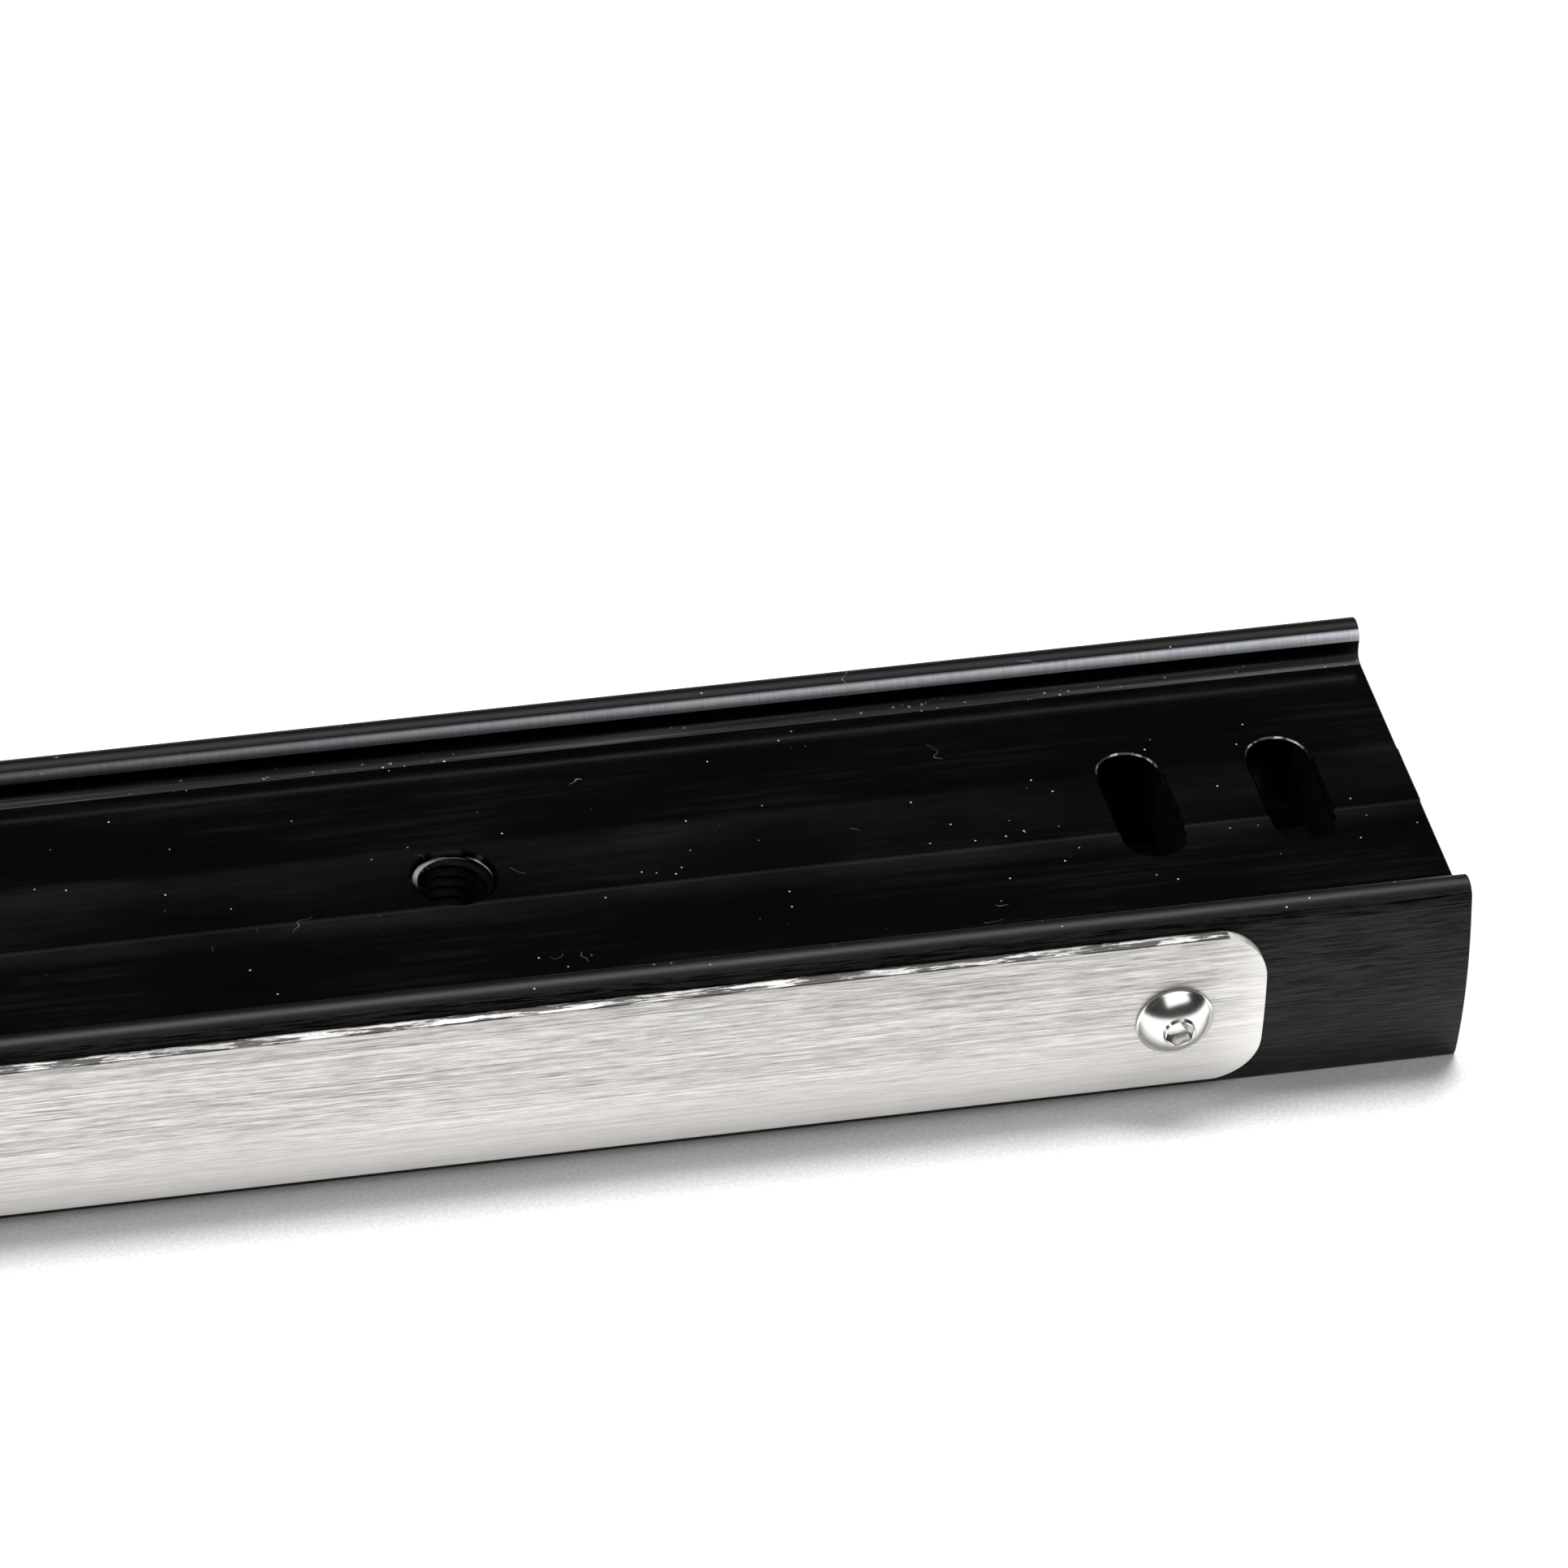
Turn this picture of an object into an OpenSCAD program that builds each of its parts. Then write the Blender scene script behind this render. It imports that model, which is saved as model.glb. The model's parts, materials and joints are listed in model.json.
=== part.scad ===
// Drawer slide: an extruded cabinet rail with stainless running strips on its
// crowned sides, and a roller carriage (the drawer member) that straddles it.
// X runs along the rail, Y across it and Z up from its underside, in millimetres.
// The origin is at the middle of the rail's underside.

/* [Rail] */
// Length of the rail
rail_len = 500; // [380:1:620]
// Width over the crowned sides
rail_w = 46; // [38:0.5:56]
// Height from the underside to the wall tops
rail_h = 21; // [20:0.5:26]
// How far each side falls back from its crest at the bottom edge
side_crown = 1.3; // [0.8:0.1:1.6]
// Depth of the shallow channel between the wall tops
channel_depth = 3.4; // [2.8:0.1:4.2]
// Thickness of the two round-topped walls
wall_t = 3.4; // [2.6:0.1:4]
// Radius where a wall meets the channel floor
floor_fillet = 0.8; // [0.4:0.1:1.2]
// Width of the raised land along the middle of the floor
land_w = 8; // [6:0.5:12]
// Height of the raised land
land_h = 0.2; // [0.1:0.05:0.4]
// Thickness of the web under the channel floor
web_t = 8; // [6:0.5:9]
// Thickness of the side below the web
foot_t = 8; // [7.5:0.5:10]

/* [Rail fixings] */
// Distance of the outer cross slot from the rail end
slot_end = 12; // [9:0.5:16]
// Distance between the two cross slots at each end
slot_pitch = 15; // [12:0.5:22]
// Width of a cross slot
slot_w = 6; // [4.5:0.1:7]
// Length of a cross slot, across the rail
slot_len = 16; // [12:0.5:20]
// Diameter of the threaded holes in the floor
thread_d = 8; // [6:0.5:8.5]
// Distance of the outer threaded holes from the rail ends
thread_end = 95; // [60:1:120]

/* [Running strips] */
// Height of a strip
strip_h = 17.5; // [14:0.5:18]
// Thickness of a strip
strip_t = 1.1; // [0.8:0.1:1.5]
// Distance of a strip's end from the rail end
strip_end = 20.5; // [12:0.5:30]
// Corner radius of a strip
strip_corner_r = 5; // [3:0.5:7]
// Distance of a strip screw from the strip's end
screw_inset = 9; // [7:0.5:14]
// Thread diameter of the strip screws
screw_d = 4; // [3:0.5:5]
// Head diameter of the strip screws
head_d = 7.6; // [6:0.1:9]
// Head height of the strip screws
head_h = 2.2; // [1.6:0.1:2.7]
// Hexagon socket of the strip screws, across flats
socket_af = 2.5; // [1.5:0.5:3]
// Length of the strip screws under the head
screw_len = 8; // [5:0.5:8]

/* [Rollers] */
// Distance between roller axes along the rail
roller_base = 104; // [90:1:120]
// Roller diameter at its waist
roller_d = 16; // [15:0.5:20]
// Roller height
roller_h = 12.8; // [12:0.2:14]
// Outside diameter of the ball bearings
bearing_od = 11; // [10:0.5:12]
// Bore of the ball bearings
bearing_id = 5; // [4:0.5:5.5]
// Width of the ball bearings
bearing_w = 4; // [3:0.5:5]
// Ball diameter
ball_d = 1.6; // [1:0.1:2]
// Balls in one bearing
ball_count = 8; // [6:1:8]
// Height of the nut under a roller
nut_h = 2.6; // [2:0.1:2.8]
// Hexagon of the nut, across flats
nut_af = 8; // [7:0.5:8.5]

/* [Carriage] */
// Length of the carriage plate
plate_len = 140; // [128:1:170]
// Thickness of the carriage plate
plate_t = 8; // [7:0.5:12]
// Corner radius of the carriage plate
plate_corner_r = 4; // [2:0.5:6]
// Distance between the drawer fixing holes along the rail
drawer_pitch_x = 60; // [40:1:66]
// Distance of the drawer fixing holes outside the crest of the rail's side
drawer_outside = 7; // [6:0.5:8]
// Diameter of the drawer fixing holes
drawer_hole_d = 6; // [4:0.5:7]
// Length of a glide pad
pad_len = 110; // [80:1:120]
// Width of a glide pad
pad_w = 6; // [4:0.5:7]
// Length of an end cap along the rail
cap_t = 8; // [6:0.5:12]
// Thickness of a wiper
wiper_t = 1.5; // [1:0.1:2.5]
// Thickness of a rubber buffer
buffer_t = 3; // [2:0.5:5]

/* [Clearances] */
// Between a roller and its strip
roller_gap = 0.25; // [0.2:0.05:0.4]
// Between a glide pad and the wall top
pad_gap = 0.3; // [0.2:0.05:0.5]
// Between an end cap and the rail
cap_gap = 0.8; // [0.6:0.1:1.2]
// Between a wiper and the rail
wiper_gap = 0.35; // [0.3:0.05:0.5]
// Between a buffer and a screw head at the end of the travel
stop_gap = 0.2; // [0.1:0.1:1]
// Between a ball and its races
ball_gap = 0.05; // [0.03:0.01:0.08]
// Between a screw shank and the hole it passes through
shank_gap = 0.15; // [0.1:0.05:0.3]

/* [Hidden] */

$fn = 48;
FINE = 240;
CUT = 1;
EPS = 0.01;

black = [0.05, 0.05, 0.055];
steel = [0.72, 0.71, 0.69];
bright = [0.82, 0.82, 0.83];
nylon = [0.9, 0.9, 0.86];
rubber = [0.12, 0.12, 0.12];

// Rail section
side_r = (pow(rail_h / 2, 2) + pow(side_crown, 2)) / (2 * side_crown);
top_r = wall_t / 2;
floor_z = rail_h - channel_depth;
web_z = floor_z - web_t;
top_z = rail_h - top_r;
top_setback = side_r - sqrt(pow(side_r, 2) - pow(top_z - rail_h / 2, 2));
wall_y = rail_w / 2 - top_setback - top_r;
channel_w = 2 * (wall_y - top_r);
under_w = rail_w - 2 * foot_t;
under_r = 1.5;
mid_z = rail_h / 2;

// Running strips and their screws
strip_len = rail_len - 2 * strip_end;
strip_y = rail_w / 2 + strip_t;
screw_x = strip_len / 2 - screw_inset;
screw_reach = screw_len - strip_t;
socket_depth = head_h * 0.6;

// Rollers, from the nut up
roller_y = strip_y + roller_gap + roller_d / 2;
roller_x = roller_base / 2;
roller_z = mid_z - roller_h / 2;
washer_t = 0.4;
washer_d = bearing_id + 2.2;
nut_z = roller_z - washer_t - nut_h;
race_in_r = bearing_id / 2 + 1;
race_out_r = bearing_od / 2 - 0.9;
ball_r = ball_d / 2;
ball_pitch_r = (race_in_r + race_out_r) / 2;
bearing_zs = [roller_z, roller_z + roller_h - bearing_w];
shield_t = 0.25;
shield_gap = 0.2;
roller_lip_r = bearing_od / 2 - 0.6;
roller_edge = 1;

// Carriage: its plate stands over the wall tops on the glide pads
pad_t = 2.2;
pad_groove = 1;
pad_corner_r = 2;
pad_peg_d = 4;
pad_peg_h = 3;
pad_peg_x = pad_len / 2 - 12;
plate_z = rail_h + pad_gap + pad_t - pad_groove;
plate_top = plate_z + plate_t;
drawer_pitch_y = rail_w + 2 * drawer_outside;
plate_w = 2 * roller_y + roller_d + 4;
bolt_head_d = bearing_id + 3.5;
bolt_head_h = bearing_id;
bolt_af = 4;
cap_screw_d = 3;
cap_head_d = 5.5;
cap_head_h = 3;
cap_screw_len = 14;
cap_screw_af = 2.5;
cap_screw_y = plate_w / 2 - 6;
cap_bottom = 1.5;
wiper_half = strip_y + 9;
wiper_bottom = 3;
wiper_top = plate_z + 2;
buffer_h = 11;
buffer_in = strip_y + cap_gap;
buffer_w = 6.4;
buffer_corner_r = 2;
buffer_peg_d = 3;
buffer_peg_len = 5;
carriage_half = plate_len / 2 + cap_t + wiper_t + buffer_t;
travel = 2 * (screw_x - head_d / 2 - stop_gap - carriage_half);
carriage_x = -travel / 2;

// Lays a section drawn in Y and Z along X, centred on the origin
module along_x(length) {
  rotate([90, 0, 90])
    linear_extrude(height = length, center = true)
      children();
}

// A rectangle with round corners, made of plain squares and circles
module round_rect(length, width, radius) {
  square([length - 2 * radius, width], center = true);
  square([length, width - 2 * radius], center = true);
  for (x = [-1, 1], y = [-1, 1])
    translate([x * (length / 2 - radius), y * (width / 2 - radius)])
      circle(radius);
}

// The area between the two crowned sides, grown outwards by a margin
module crowned_area(margin) {
  intersection() {
    translate([side_r - rail_w / 2, mid_z])
      circle(side_r + margin, $fn = FINE);
    translate([rail_w / 2 - side_r, mid_z])
      circle(side_r + margin, $fn = FINE);
  }
}

// A square corner less a quarter round, for the fillets of the channel floor
module fillet_corner(radius) {
  difference() {
    square(radius + EPS);
    translate([radius, radius])
      circle(radius);
  }
}

module rail_section() {
  difference() {
    intersection() {
      crowned_area(0);
      translate([-rail_w / 2, 0])
        square([rail_w, top_z]);
    }
    translate([-channel_w / 2, floor_z])
      square([channel_w, channel_depth + CUT]);
    translate([-under_w / 2 + under_r, -CUT])
      square([under_w - 2 * under_r, web_z + CUT]);
    translate([-under_w / 2, -CUT])
      square([under_w, web_z - under_r + CUT]);
    for (y = [-1, 1])
      translate([y * (under_w / 2 - under_r), web_z - under_r])
        circle(under_r);
  }
  for (side = [-1, 1]) {
    translate([side * wall_y, top_z])
      circle(top_r);
    mirror([side > 0 ? 1 : 0, 0])
      translate([-channel_w / 2 - EPS, floor_z - EPS])
        fillet_corner(floor_fillet);
  }
  translate([-land_w / 2, floor_z - EPS])
    square([land_w, land_h + EPS]);
}

module cross_slot() {
  translate([0, 0, web_z - CUT])
    linear_extrude(height = web_t + land_h + 2 * CUT)
      union() {
        square([slot_w, slot_len - slot_w], center = true);
        for (y = [-1, 1])
          translate([0, y * (slot_len - slot_w) / 2])
            circle(slot_w / 2);
      }
}

module rail() {
  color(black)
    difference() {
      along_x(rail_len)
        rail_section();
      for (side = [-1, 1], n = [0, 1])
        translate([side * (rail_len / 2 - slot_end - n * slot_pitch), 0, 0])
          cross_slot();
      for (x = [-1, 0, 1])
        translate([x * (rail_len / 2 - thread_end), 0, web_z - CUT])
          cylinder(d = thread_d, h = web_t + land_h + 2 * CUT);
      for (x = [-1, 1], side = [-1, 1])
        translate([x * screw_x, side * (rail_w / 2 - screw_reach), mid_z])
          rotate([-side * 90, 0, 0])
            cylinder(d = screw_d, h = screw_reach + CUT);
    }
}

// side is -1 at the front of the rail and 1 at the rear
module running_strip(side) {
  color(steel)
    difference() {
      intersection() {
        along_x(strip_len)
          difference() {
            crowned_area(strip_t);
            crowned_area(0);
          }
        translate([0, side * (rail_w / 2 + strip_t), mid_z])
          rotate([90, 0, 0])
            linear_extrude(height = 2 * (strip_t + side_crown + CUT), center = true)
              round_rect(strip_len, strip_h, strip_corner_r);
      }
      for (x = [-1, 1])
        translate([x * screw_x, side * rail_w / 2, mid_z])
          rotate([90, 0, 0])
            cylinder(d = screw_d + 2 * shank_gap, h = 4 * strip_t, center = true);
    }
}

module front_running_strip() {
  running_strip(-1);
}

module rear_running_strip() {
  running_strip(1);
}

// A button-head screw along Z, with its head above z = 0
module button_screw() {
  dome_r = (pow(head_d / 2, 2) + pow(head_h, 2)) / (2 * head_h);
  difference() {
    union() {
      intersection() {
        translate([0, 0, head_h - dome_r])
          sphere(dome_r, $fn = 96);
        cylinder(d = head_d + CUT, h = head_h + CUT);
      }
      translate([0, 0, -screw_len])
        cylinder(d = screw_d, h = screw_len + EPS);
    }
    translate([0, 0, head_h - socket_depth])
      cylinder(d = socket_af / cos(30), h = socket_depth + CUT, $fn = 6);
  }
}

module strip_screws(side) {
  color(bright)
    for (x = [-1, 1])
      translate([x * screw_x, side * strip_y, mid_z])
        rotate([-side * 90, 0, 0])
          button_screw();
}

module front_strip_screws() {
  strip_screws(-1);
}

module rear_strip_screws() {
  strip_screws(1);
}

// Places its children at the four roller axes
module at_rollers() {
  for (x = [-1, 1], y = [-1, 1])
    translate([carriage_x + x * roller_x, y * roller_y, 0])
      children();
}

// A glide pad with its two pegs; the plate's pocket is the same shape, as a press fit
module glide_pad_shape() {
  translate([0, 0, rail_h + pad_gap])
    linear_extrude(height = pad_t)
      round_rect(pad_len, pad_w, pad_corner_r);
  for (x = [-1, 1])
    translate([x * pad_peg_x, 0, plate_z + pad_groove - EPS])
      cylinder(d = pad_peg_d, h = pad_peg_h + EPS);
}

module glide_pad(side) {
  color(nylon)
    translate([carriage_x, side * wall_y, 0])
      glide_pad_shape();
}

module front_glide_pad() {
  glide_pad(-1);
}

module rear_glide_pad() {
  glide_pad(1);
}

module carriage_plate() {
  color(black)
    difference() {
      translate([carriage_x, 0, plate_z])
        linear_extrude(height = plate_t)
          round_rect(plate_len, plate_w, plate_corner_r);
      for (side = [-1, 1])
        translate([carriage_x, side * wall_y, 0])
          glide_pad_shape();
      at_rollers()
        translate([0, 0, plate_z - CUT])
          cylinder(d = bearing_id + 2 * shank_gap, h = plate_t + 2 * CUT);
      at_rollers()
        translate([0, 0, plate_top - bolt_head_h])
          cylinder(d = bolt_head_d + 2 * shank_gap, h = bolt_head_h + CUT);
      for (x = [-1, 1], y = [-1, 1])
        translate([carriage_x + x * drawer_pitch_x / 2, y * drawer_pitch_y / 2, plate_z - CUT])
          cylinder(d = drawer_hole_d, h = plate_t + 2 * CUT);
      for (x = [-1, 1], y = [-1, 1])
        translate([carriage_x + x * plate_len / 2, y * cap_screw_y, plate_z + plate_t / 2])
          rotate([0, 90, 0])
            cylinder(d = cap_screw_d, h = 2 * (cap_screw_len - cap_t + CUT), center = true);
    }
}

// The rail and its strips as an opening, grown by a gap; a plain block below the crest
module rail_opening(gap) {
  crowned_area(strip_t + gap);
  translate([-rail_w / 2 - strip_t - gap, 0])
    square([rail_w + 2 * (strip_t + gap), mid_z]);
}

module end_cap_section() {
  difference() {
    translate([-plate_w / 2, cap_bottom])
      square([plate_w, plate_top - cap_bottom]);
    intersection() {
      rail_opening(cap_gap);
      translate([-plate_w / 2, -CUT])
        square([plate_w, rail_h + cap_gap + CUT]);
    }
  }
}

// side is -1 at the left end of the carriage and 1 at its right end
module end_cap(side) {
  cap_x = carriage_x + side * (plate_len + cap_t) / 2;
  color(black)
    difference() {
      translate([cap_x, 0, 0])
        along_x(cap_t)
          end_cap_section();
      for (y = [-1, 1]) {
        translate([cap_x, y * cap_screw_y, plate_z + plate_t / 2])
          rotate([0, 90, 0])
            cylinder(d = cap_screw_d + 2 * shank_gap, h = cap_t + 2 * CUT, center = true);
        translate([cap_x, y * (buffer_in + buffer_w / 2), mid_z])
          rotate([0, 90, 0])
            cylinder(d = buffer_peg_d, h = cap_t + 2 * CUT, center = true);
      }
    }
}

module left_end_cap() {
  end_cap(-1);
}

module right_end_cap() {
  end_cap(1);
}

module wiper(side) {
  wiper_x = carriage_x + side * (plate_len / 2 + cap_t + wiper_t / 2);
  color(rubber)
    difference() {
      translate([wiper_x, 0, 0])
        along_x(wiper_t)
          difference() {
            translate([-wiper_half, wiper_bottom])
              square([2 * wiper_half, wiper_top - wiper_bottom]);
            intersection() {
              rail_opening(wiper_gap);
              translate([-wiper_half, -CUT])
                square([2 * wiper_half, rail_h + wiper_gap + CUT]);
            }
          }
      for (y = [-1, 1])
        translate([wiper_x, y * (buffer_in + buffer_w / 2), mid_z])
          rotate([0, 90, 0])
            cylinder(d = buffer_peg_d, h = wiper_t + 2 * CUT, center = true);
    }
}

module left_wiper() {
  wiper(-1);
}

module right_wiper() {
  wiper(1);
}

module buffers(side) {
  face_x = plate_len / 2 + cap_t + wiper_t;
  color(rubber)
    for (y = [-1, 1])
      translate([carriage_x + side * face_x, y * (buffer_in + buffer_w / 2), mid_z]) {
        translate([side * buffer_t / 2, 0, 0])
          rotate([0, 90, 0])
            linear_extrude(height = buffer_t, center = true)
              round_rect(buffer_h, buffer_w, buffer_corner_r);
        translate([side * (EPS - buffer_peg_len) / 2, 0, 0])
          rotate([0, 90, 0])
            cylinder(d = buffer_peg_d, h = buffer_peg_len + EPS, center = true);
      }
}

module left_buffers() {
  buffers(-1);
}

module right_buffers() {
  buffers(1);
}

// A socket-head screw along Z, with its head above z = 0
module socket_screw(shank_d, shank_len, head_dia, head_height, across_flats) {
  difference() {
    union() {
      cylinder(d = head_dia, h = head_height);
      translate([0, 0, -shank_len])
        cylinder(d = shank_d, h = shank_len + EPS);
    }
    translate([0, 0, head_height / 2])
      cylinder(d = across_flats / cos(30), h = head_height, $fn = 6);
  }
}

module end_cap_screws() {
  color(bright)
    for (x = [-1, 1], y = [-1, 1])
      translate([carriage_x + x * (plate_len / 2 + cap_t), y * cap_screw_y, plate_z + plate_t / 2])
        rotate([0, x * 90, 0])
          socket_screw(cap_screw_d, cap_screw_len, cap_head_d, cap_head_h, cap_screw_af);
}

module roller_bolts() {
  seat_z = plate_top - bolt_head_h;
  color(bright)
    at_rollers()
      translate([0, 0, seat_z])
        socket_screw(bearing_id, seat_z - nut_z, bolt_head_d, bolt_head_h, bolt_af);
}

// A plain ring standing on z, for collars, washers and spacers
module ring(z, height, outer_d) {
  translate([0, 0, z])
    difference() {
      cylinder(d = outer_d, h = height);
      translate([0, 0, -CUT])
        cylinder(d = bearing_id, h = height + 2 * CUT);
    }
}

module roller_collars() {
  color(bright)
    at_rollers()
      ring(roller_z + roller_h, plate_z - roller_z - roller_h, washer_d);
}

module roller_washers() {
  color(bright)
    at_rollers()
      ring(roller_z - washer_t, washer_t, washer_d);
}

module roller_nuts() {
  color(bright)
    at_rollers()
      translate([0, 0, nut_z])
        difference() {
          cylinder(d = nut_af / cos(30), h = nut_h, $fn = 6);
          translate([0, 0, -CUT])
            cylinder(d = bearing_id, h = nut_h + 2 * CUT);
        }
}

// The groove that the balls run in, as a ring to cut away
module ball_groove() {
  rotate_extrude()
    translate([ball_pitch_r, bearing_w / 2])
      circle(ball_r + ball_gap);
}

module bearing_inner_rings() {
  color(bright)
    at_rollers()
      for (z = bearing_zs)
        translate([0, 0, z])
          difference() {
            ring(0, bearing_w, 2 * race_in_r);
            ball_groove();
          }
}

module bearing_spacers() {
  color(bright)
    at_rollers()
      ring(roller_z + bearing_w, roller_h - 2 * bearing_w, 2 * race_in_r);
}

module outer_ring() {
  difference() {
    cylinder(d = bearing_od, h = bearing_w);
    translate([0, 0, shield_t])
      cylinder(r = race_out_r, h = bearing_w - 2 * shield_t);
    translate([0, 0, -CUT])
      cylinder(r = race_in_r + shield_gap, h = bearing_w + 2 * CUT);
    ball_groove();
  }
}

// lr is -1 at the left and 1 at the right, side is -1 at the front and 1 at the rear
module at_roller(lr, side) {
  translate([carriage_x + lr * roller_x, side * roller_y, 0])
    children();
}

module outer_rings(lr, side) {
  color(bright)
    at_roller(lr, side)
      for (z = bearing_zs)
        translate([0, 0, z])
          outer_ring();
}

module balls(lr, side) {
  color(bright)
    at_roller(lr, side)
      for (z = bearing_zs, n = [0:ball_count - 1])
        rotate([0, 0, n * 360 / ball_count])
          translate([ball_pitch_r, 0, z + bearing_w / 2])
            sphere(ball_r, $fn = 32);
}

// An hourglass roller whose waist follows the crowned strip
module roller(lr, side) {
  waist_r = side_r + strip_t + roller_gap;
  color(nylon)
    at_roller(lr, side)
      translate([0, 0, roller_z])
        rotate_extrude()
          difference() {
            translate([roller_lip_r, 0])
              square([roller_d, roller_h]);
            translate([roller_d / 2 + waist_r, roller_h / 2])
              circle(waist_r, $fn = FINE);
            translate([roller_d / 2 + roller_edge, -CUT])
              square([roller_d, roller_h + 2 * CUT]);
            translate([0, -CUT])
              square([bearing_od / 2, bearing_w + CUT]);
            translate([0, roller_h - bearing_w])
              square([bearing_od / 2, bearing_w + CUT]);
          }
}

module front_left_roller() {
  roller(-1, -1);
}

module front_right_roller() {
  roller(1, -1);
}

module rear_left_roller() {
  roller(-1, 1);
}

module rear_right_roller() {
  roller(1, 1);
}

module front_left_outer_rings() {
  outer_rings(-1, -1);
}

module front_right_outer_rings() {
  outer_rings(1, -1);
}

module rear_left_outer_rings() {
  outer_rings(-1, 1);
}

module rear_right_outer_rings() {
  outer_rings(1, 1);
}

module front_left_balls() {
  balls(-1, -1);
}

module front_right_balls() {
  balls(1, -1);
}

module rear_left_balls() {
  balls(-1, 1);
}

module rear_right_balls() {
  balls(1, 1);
}

rail();
front_running_strip();
rear_running_strip();
front_strip_screws();
rear_strip_screws();
carriage_plate();
front_glide_pad();
rear_glide_pad();
left_end_cap();
right_end_cap();
left_wiper();
right_wiper();
left_buffers();
right_buffers();
end_cap_screws();
roller_bolts();
roller_collars();
roller_washers();
roller_nuts();
bearing_inner_rings();
bearing_spacers();
front_left_roller();
front_right_roller();
rear_left_roller();
rear_right_roller();
front_left_outer_rings();
front_right_outer_rings();
rear_left_outer_rings();
rear_right_outer_rings();
front_left_balls();
front_right_balls();
rear_left_balls();
rear_right_balls();
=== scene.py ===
"""A drawer slide: an extruded rail with stainless running strips, straddled by a roller carriage.

Metres throughout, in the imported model's frame: X along the rail, Y across it, Z up from its
underside.
"""

import json
import math

import bmesh
import bpy
from mathutils import Matrix, Vector


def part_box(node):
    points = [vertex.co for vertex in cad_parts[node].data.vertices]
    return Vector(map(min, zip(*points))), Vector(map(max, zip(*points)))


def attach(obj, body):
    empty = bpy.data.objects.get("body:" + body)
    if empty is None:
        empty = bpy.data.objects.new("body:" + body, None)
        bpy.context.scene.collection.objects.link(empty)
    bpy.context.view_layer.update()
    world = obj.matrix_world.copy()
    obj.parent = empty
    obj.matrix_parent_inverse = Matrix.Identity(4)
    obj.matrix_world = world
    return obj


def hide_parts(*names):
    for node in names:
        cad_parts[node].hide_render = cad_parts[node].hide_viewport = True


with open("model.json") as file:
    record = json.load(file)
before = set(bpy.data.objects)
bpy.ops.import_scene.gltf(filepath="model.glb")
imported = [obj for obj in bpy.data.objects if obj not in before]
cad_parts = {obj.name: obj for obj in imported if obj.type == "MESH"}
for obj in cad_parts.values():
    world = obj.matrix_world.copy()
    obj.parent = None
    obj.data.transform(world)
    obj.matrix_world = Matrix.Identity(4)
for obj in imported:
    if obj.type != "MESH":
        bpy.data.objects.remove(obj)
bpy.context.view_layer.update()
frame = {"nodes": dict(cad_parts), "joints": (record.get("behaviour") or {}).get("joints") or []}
MM = 0.001


# ------------------------------
# The rail. A black anodised aluminium extrusion, sawn to length, with its
# cut edges broken by hand; slots and tapped holes are machined afterwards.
rail_low, rail_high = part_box("rail")
RAIL_LENGTH = rail_high.x - rail_low.x
RAIL_HALF = rail_high.y
RAIL_MID = rail_high.z / 2
SIDE_FALL = 1.3 * MM
SIDE_RADIUS = (RAIL_MID**2 + SIDE_FALL**2) / (2 * SIDE_FALL)
WALL_ROUND = 1.7 * MM
WALL_TOP = rail_high.z - WALL_ROUND
FLOOR = rail_high.z - 3.4 * MM
LAND_HALF = 4 * MM
LAND_TOP = FLOOR + 0.2 * MM
WEB_UNDER = FLOOR - 8 * MM
FOOT_IN = RAIL_HALF - 8 * MM


def side_y(z, outward=0.0):
    """Half width of the crowned sides at height z, grown outwards."""
    reach = SIDE_RADIUS + outward
    return RAIL_HALF - SIDE_RADIUS + math.sqrt(reach**2 - (z - RAIL_MID) ** 2)


def arc(centre, radius, start, end, steps):
    """Points of an arc in the section, angles in degrees."""
    turns = [math.radians(start + (end - start) * k / steps) for k in range(steps + 1)]
    return [(centre[0] + radius * math.cos(t), centre[1] + radius * math.sin(t)) for t in turns]


def rail_section():
    """The rail's section as (y, z) points, anticlockwise, from the middle of the underside."""
    wall_y = side_y(WALL_TOP) - WALL_ROUND
    wall_in = wall_y - WALL_ROUND
    corner, edge, fillet = 1.5 * MM, 0.35 * MM, 0.8 * MM
    lip, lip_low, land_slope = 0.16 * MM, WALL_TOP + 0.36 * MM, 0.25 * MM
    half = [(0, WEB_UNDER)]
    half += arc((FOOT_IN - corner, WEB_UNDER - corner), corner, 90, 0, 6)
    half += arc((FOOT_IN + edge, edge), edge, 180, 270, 3)
    half += arc((side_y(0) - edge, edge), edge, 270, 350, 3)
    half += [(side_y(WALL_TOP * k / 28), WALL_TOP * k / 28) for k in range(1, 28)]
    half += arc((wall_y, WALL_TOP), WALL_ROUND, 0, 165, 22)
    half += [(wall_in + lip, lip_low), (wall_in + lip, FLOOR + fillet)]
    half += arc((wall_in + lip - fillet, FLOOR + fillet), fillet, 0, -90, 10)[1:]
    half += [(LAND_HALF + land_slope, FLOOR), (LAND_HALF, LAND_TOP), (0, LAND_TOP)]
    return half + [(-y, z) for y, z in reversed(half[1:-1])]


def in_scene(name, data):
    """A new object with this data, linked to the scene."""
    made = bpy.data.objects.new(name, data)
    bpy.context.scene.collection.objects.link(made)
    return made


def new_piece(name, verts, faces):
    """A closed solid from its points and faces, with its faces turned outwards."""
    mesh = bpy.data.meshes.new(name)
    mesh.from_pydata([tuple(v) for v in verts], [], faces)
    work = bmesh.new()
    work.from_mesh(mesh)
    bmesh.ops.remove_doubles(work, verts=work.verts, dist=1e-8)
    bmesh.ops.recalc_face_normals(work, faces=work.faces)
    work.to_mesh(mesh)
    work.free()
    return in_scene(name, mesh)


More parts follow.
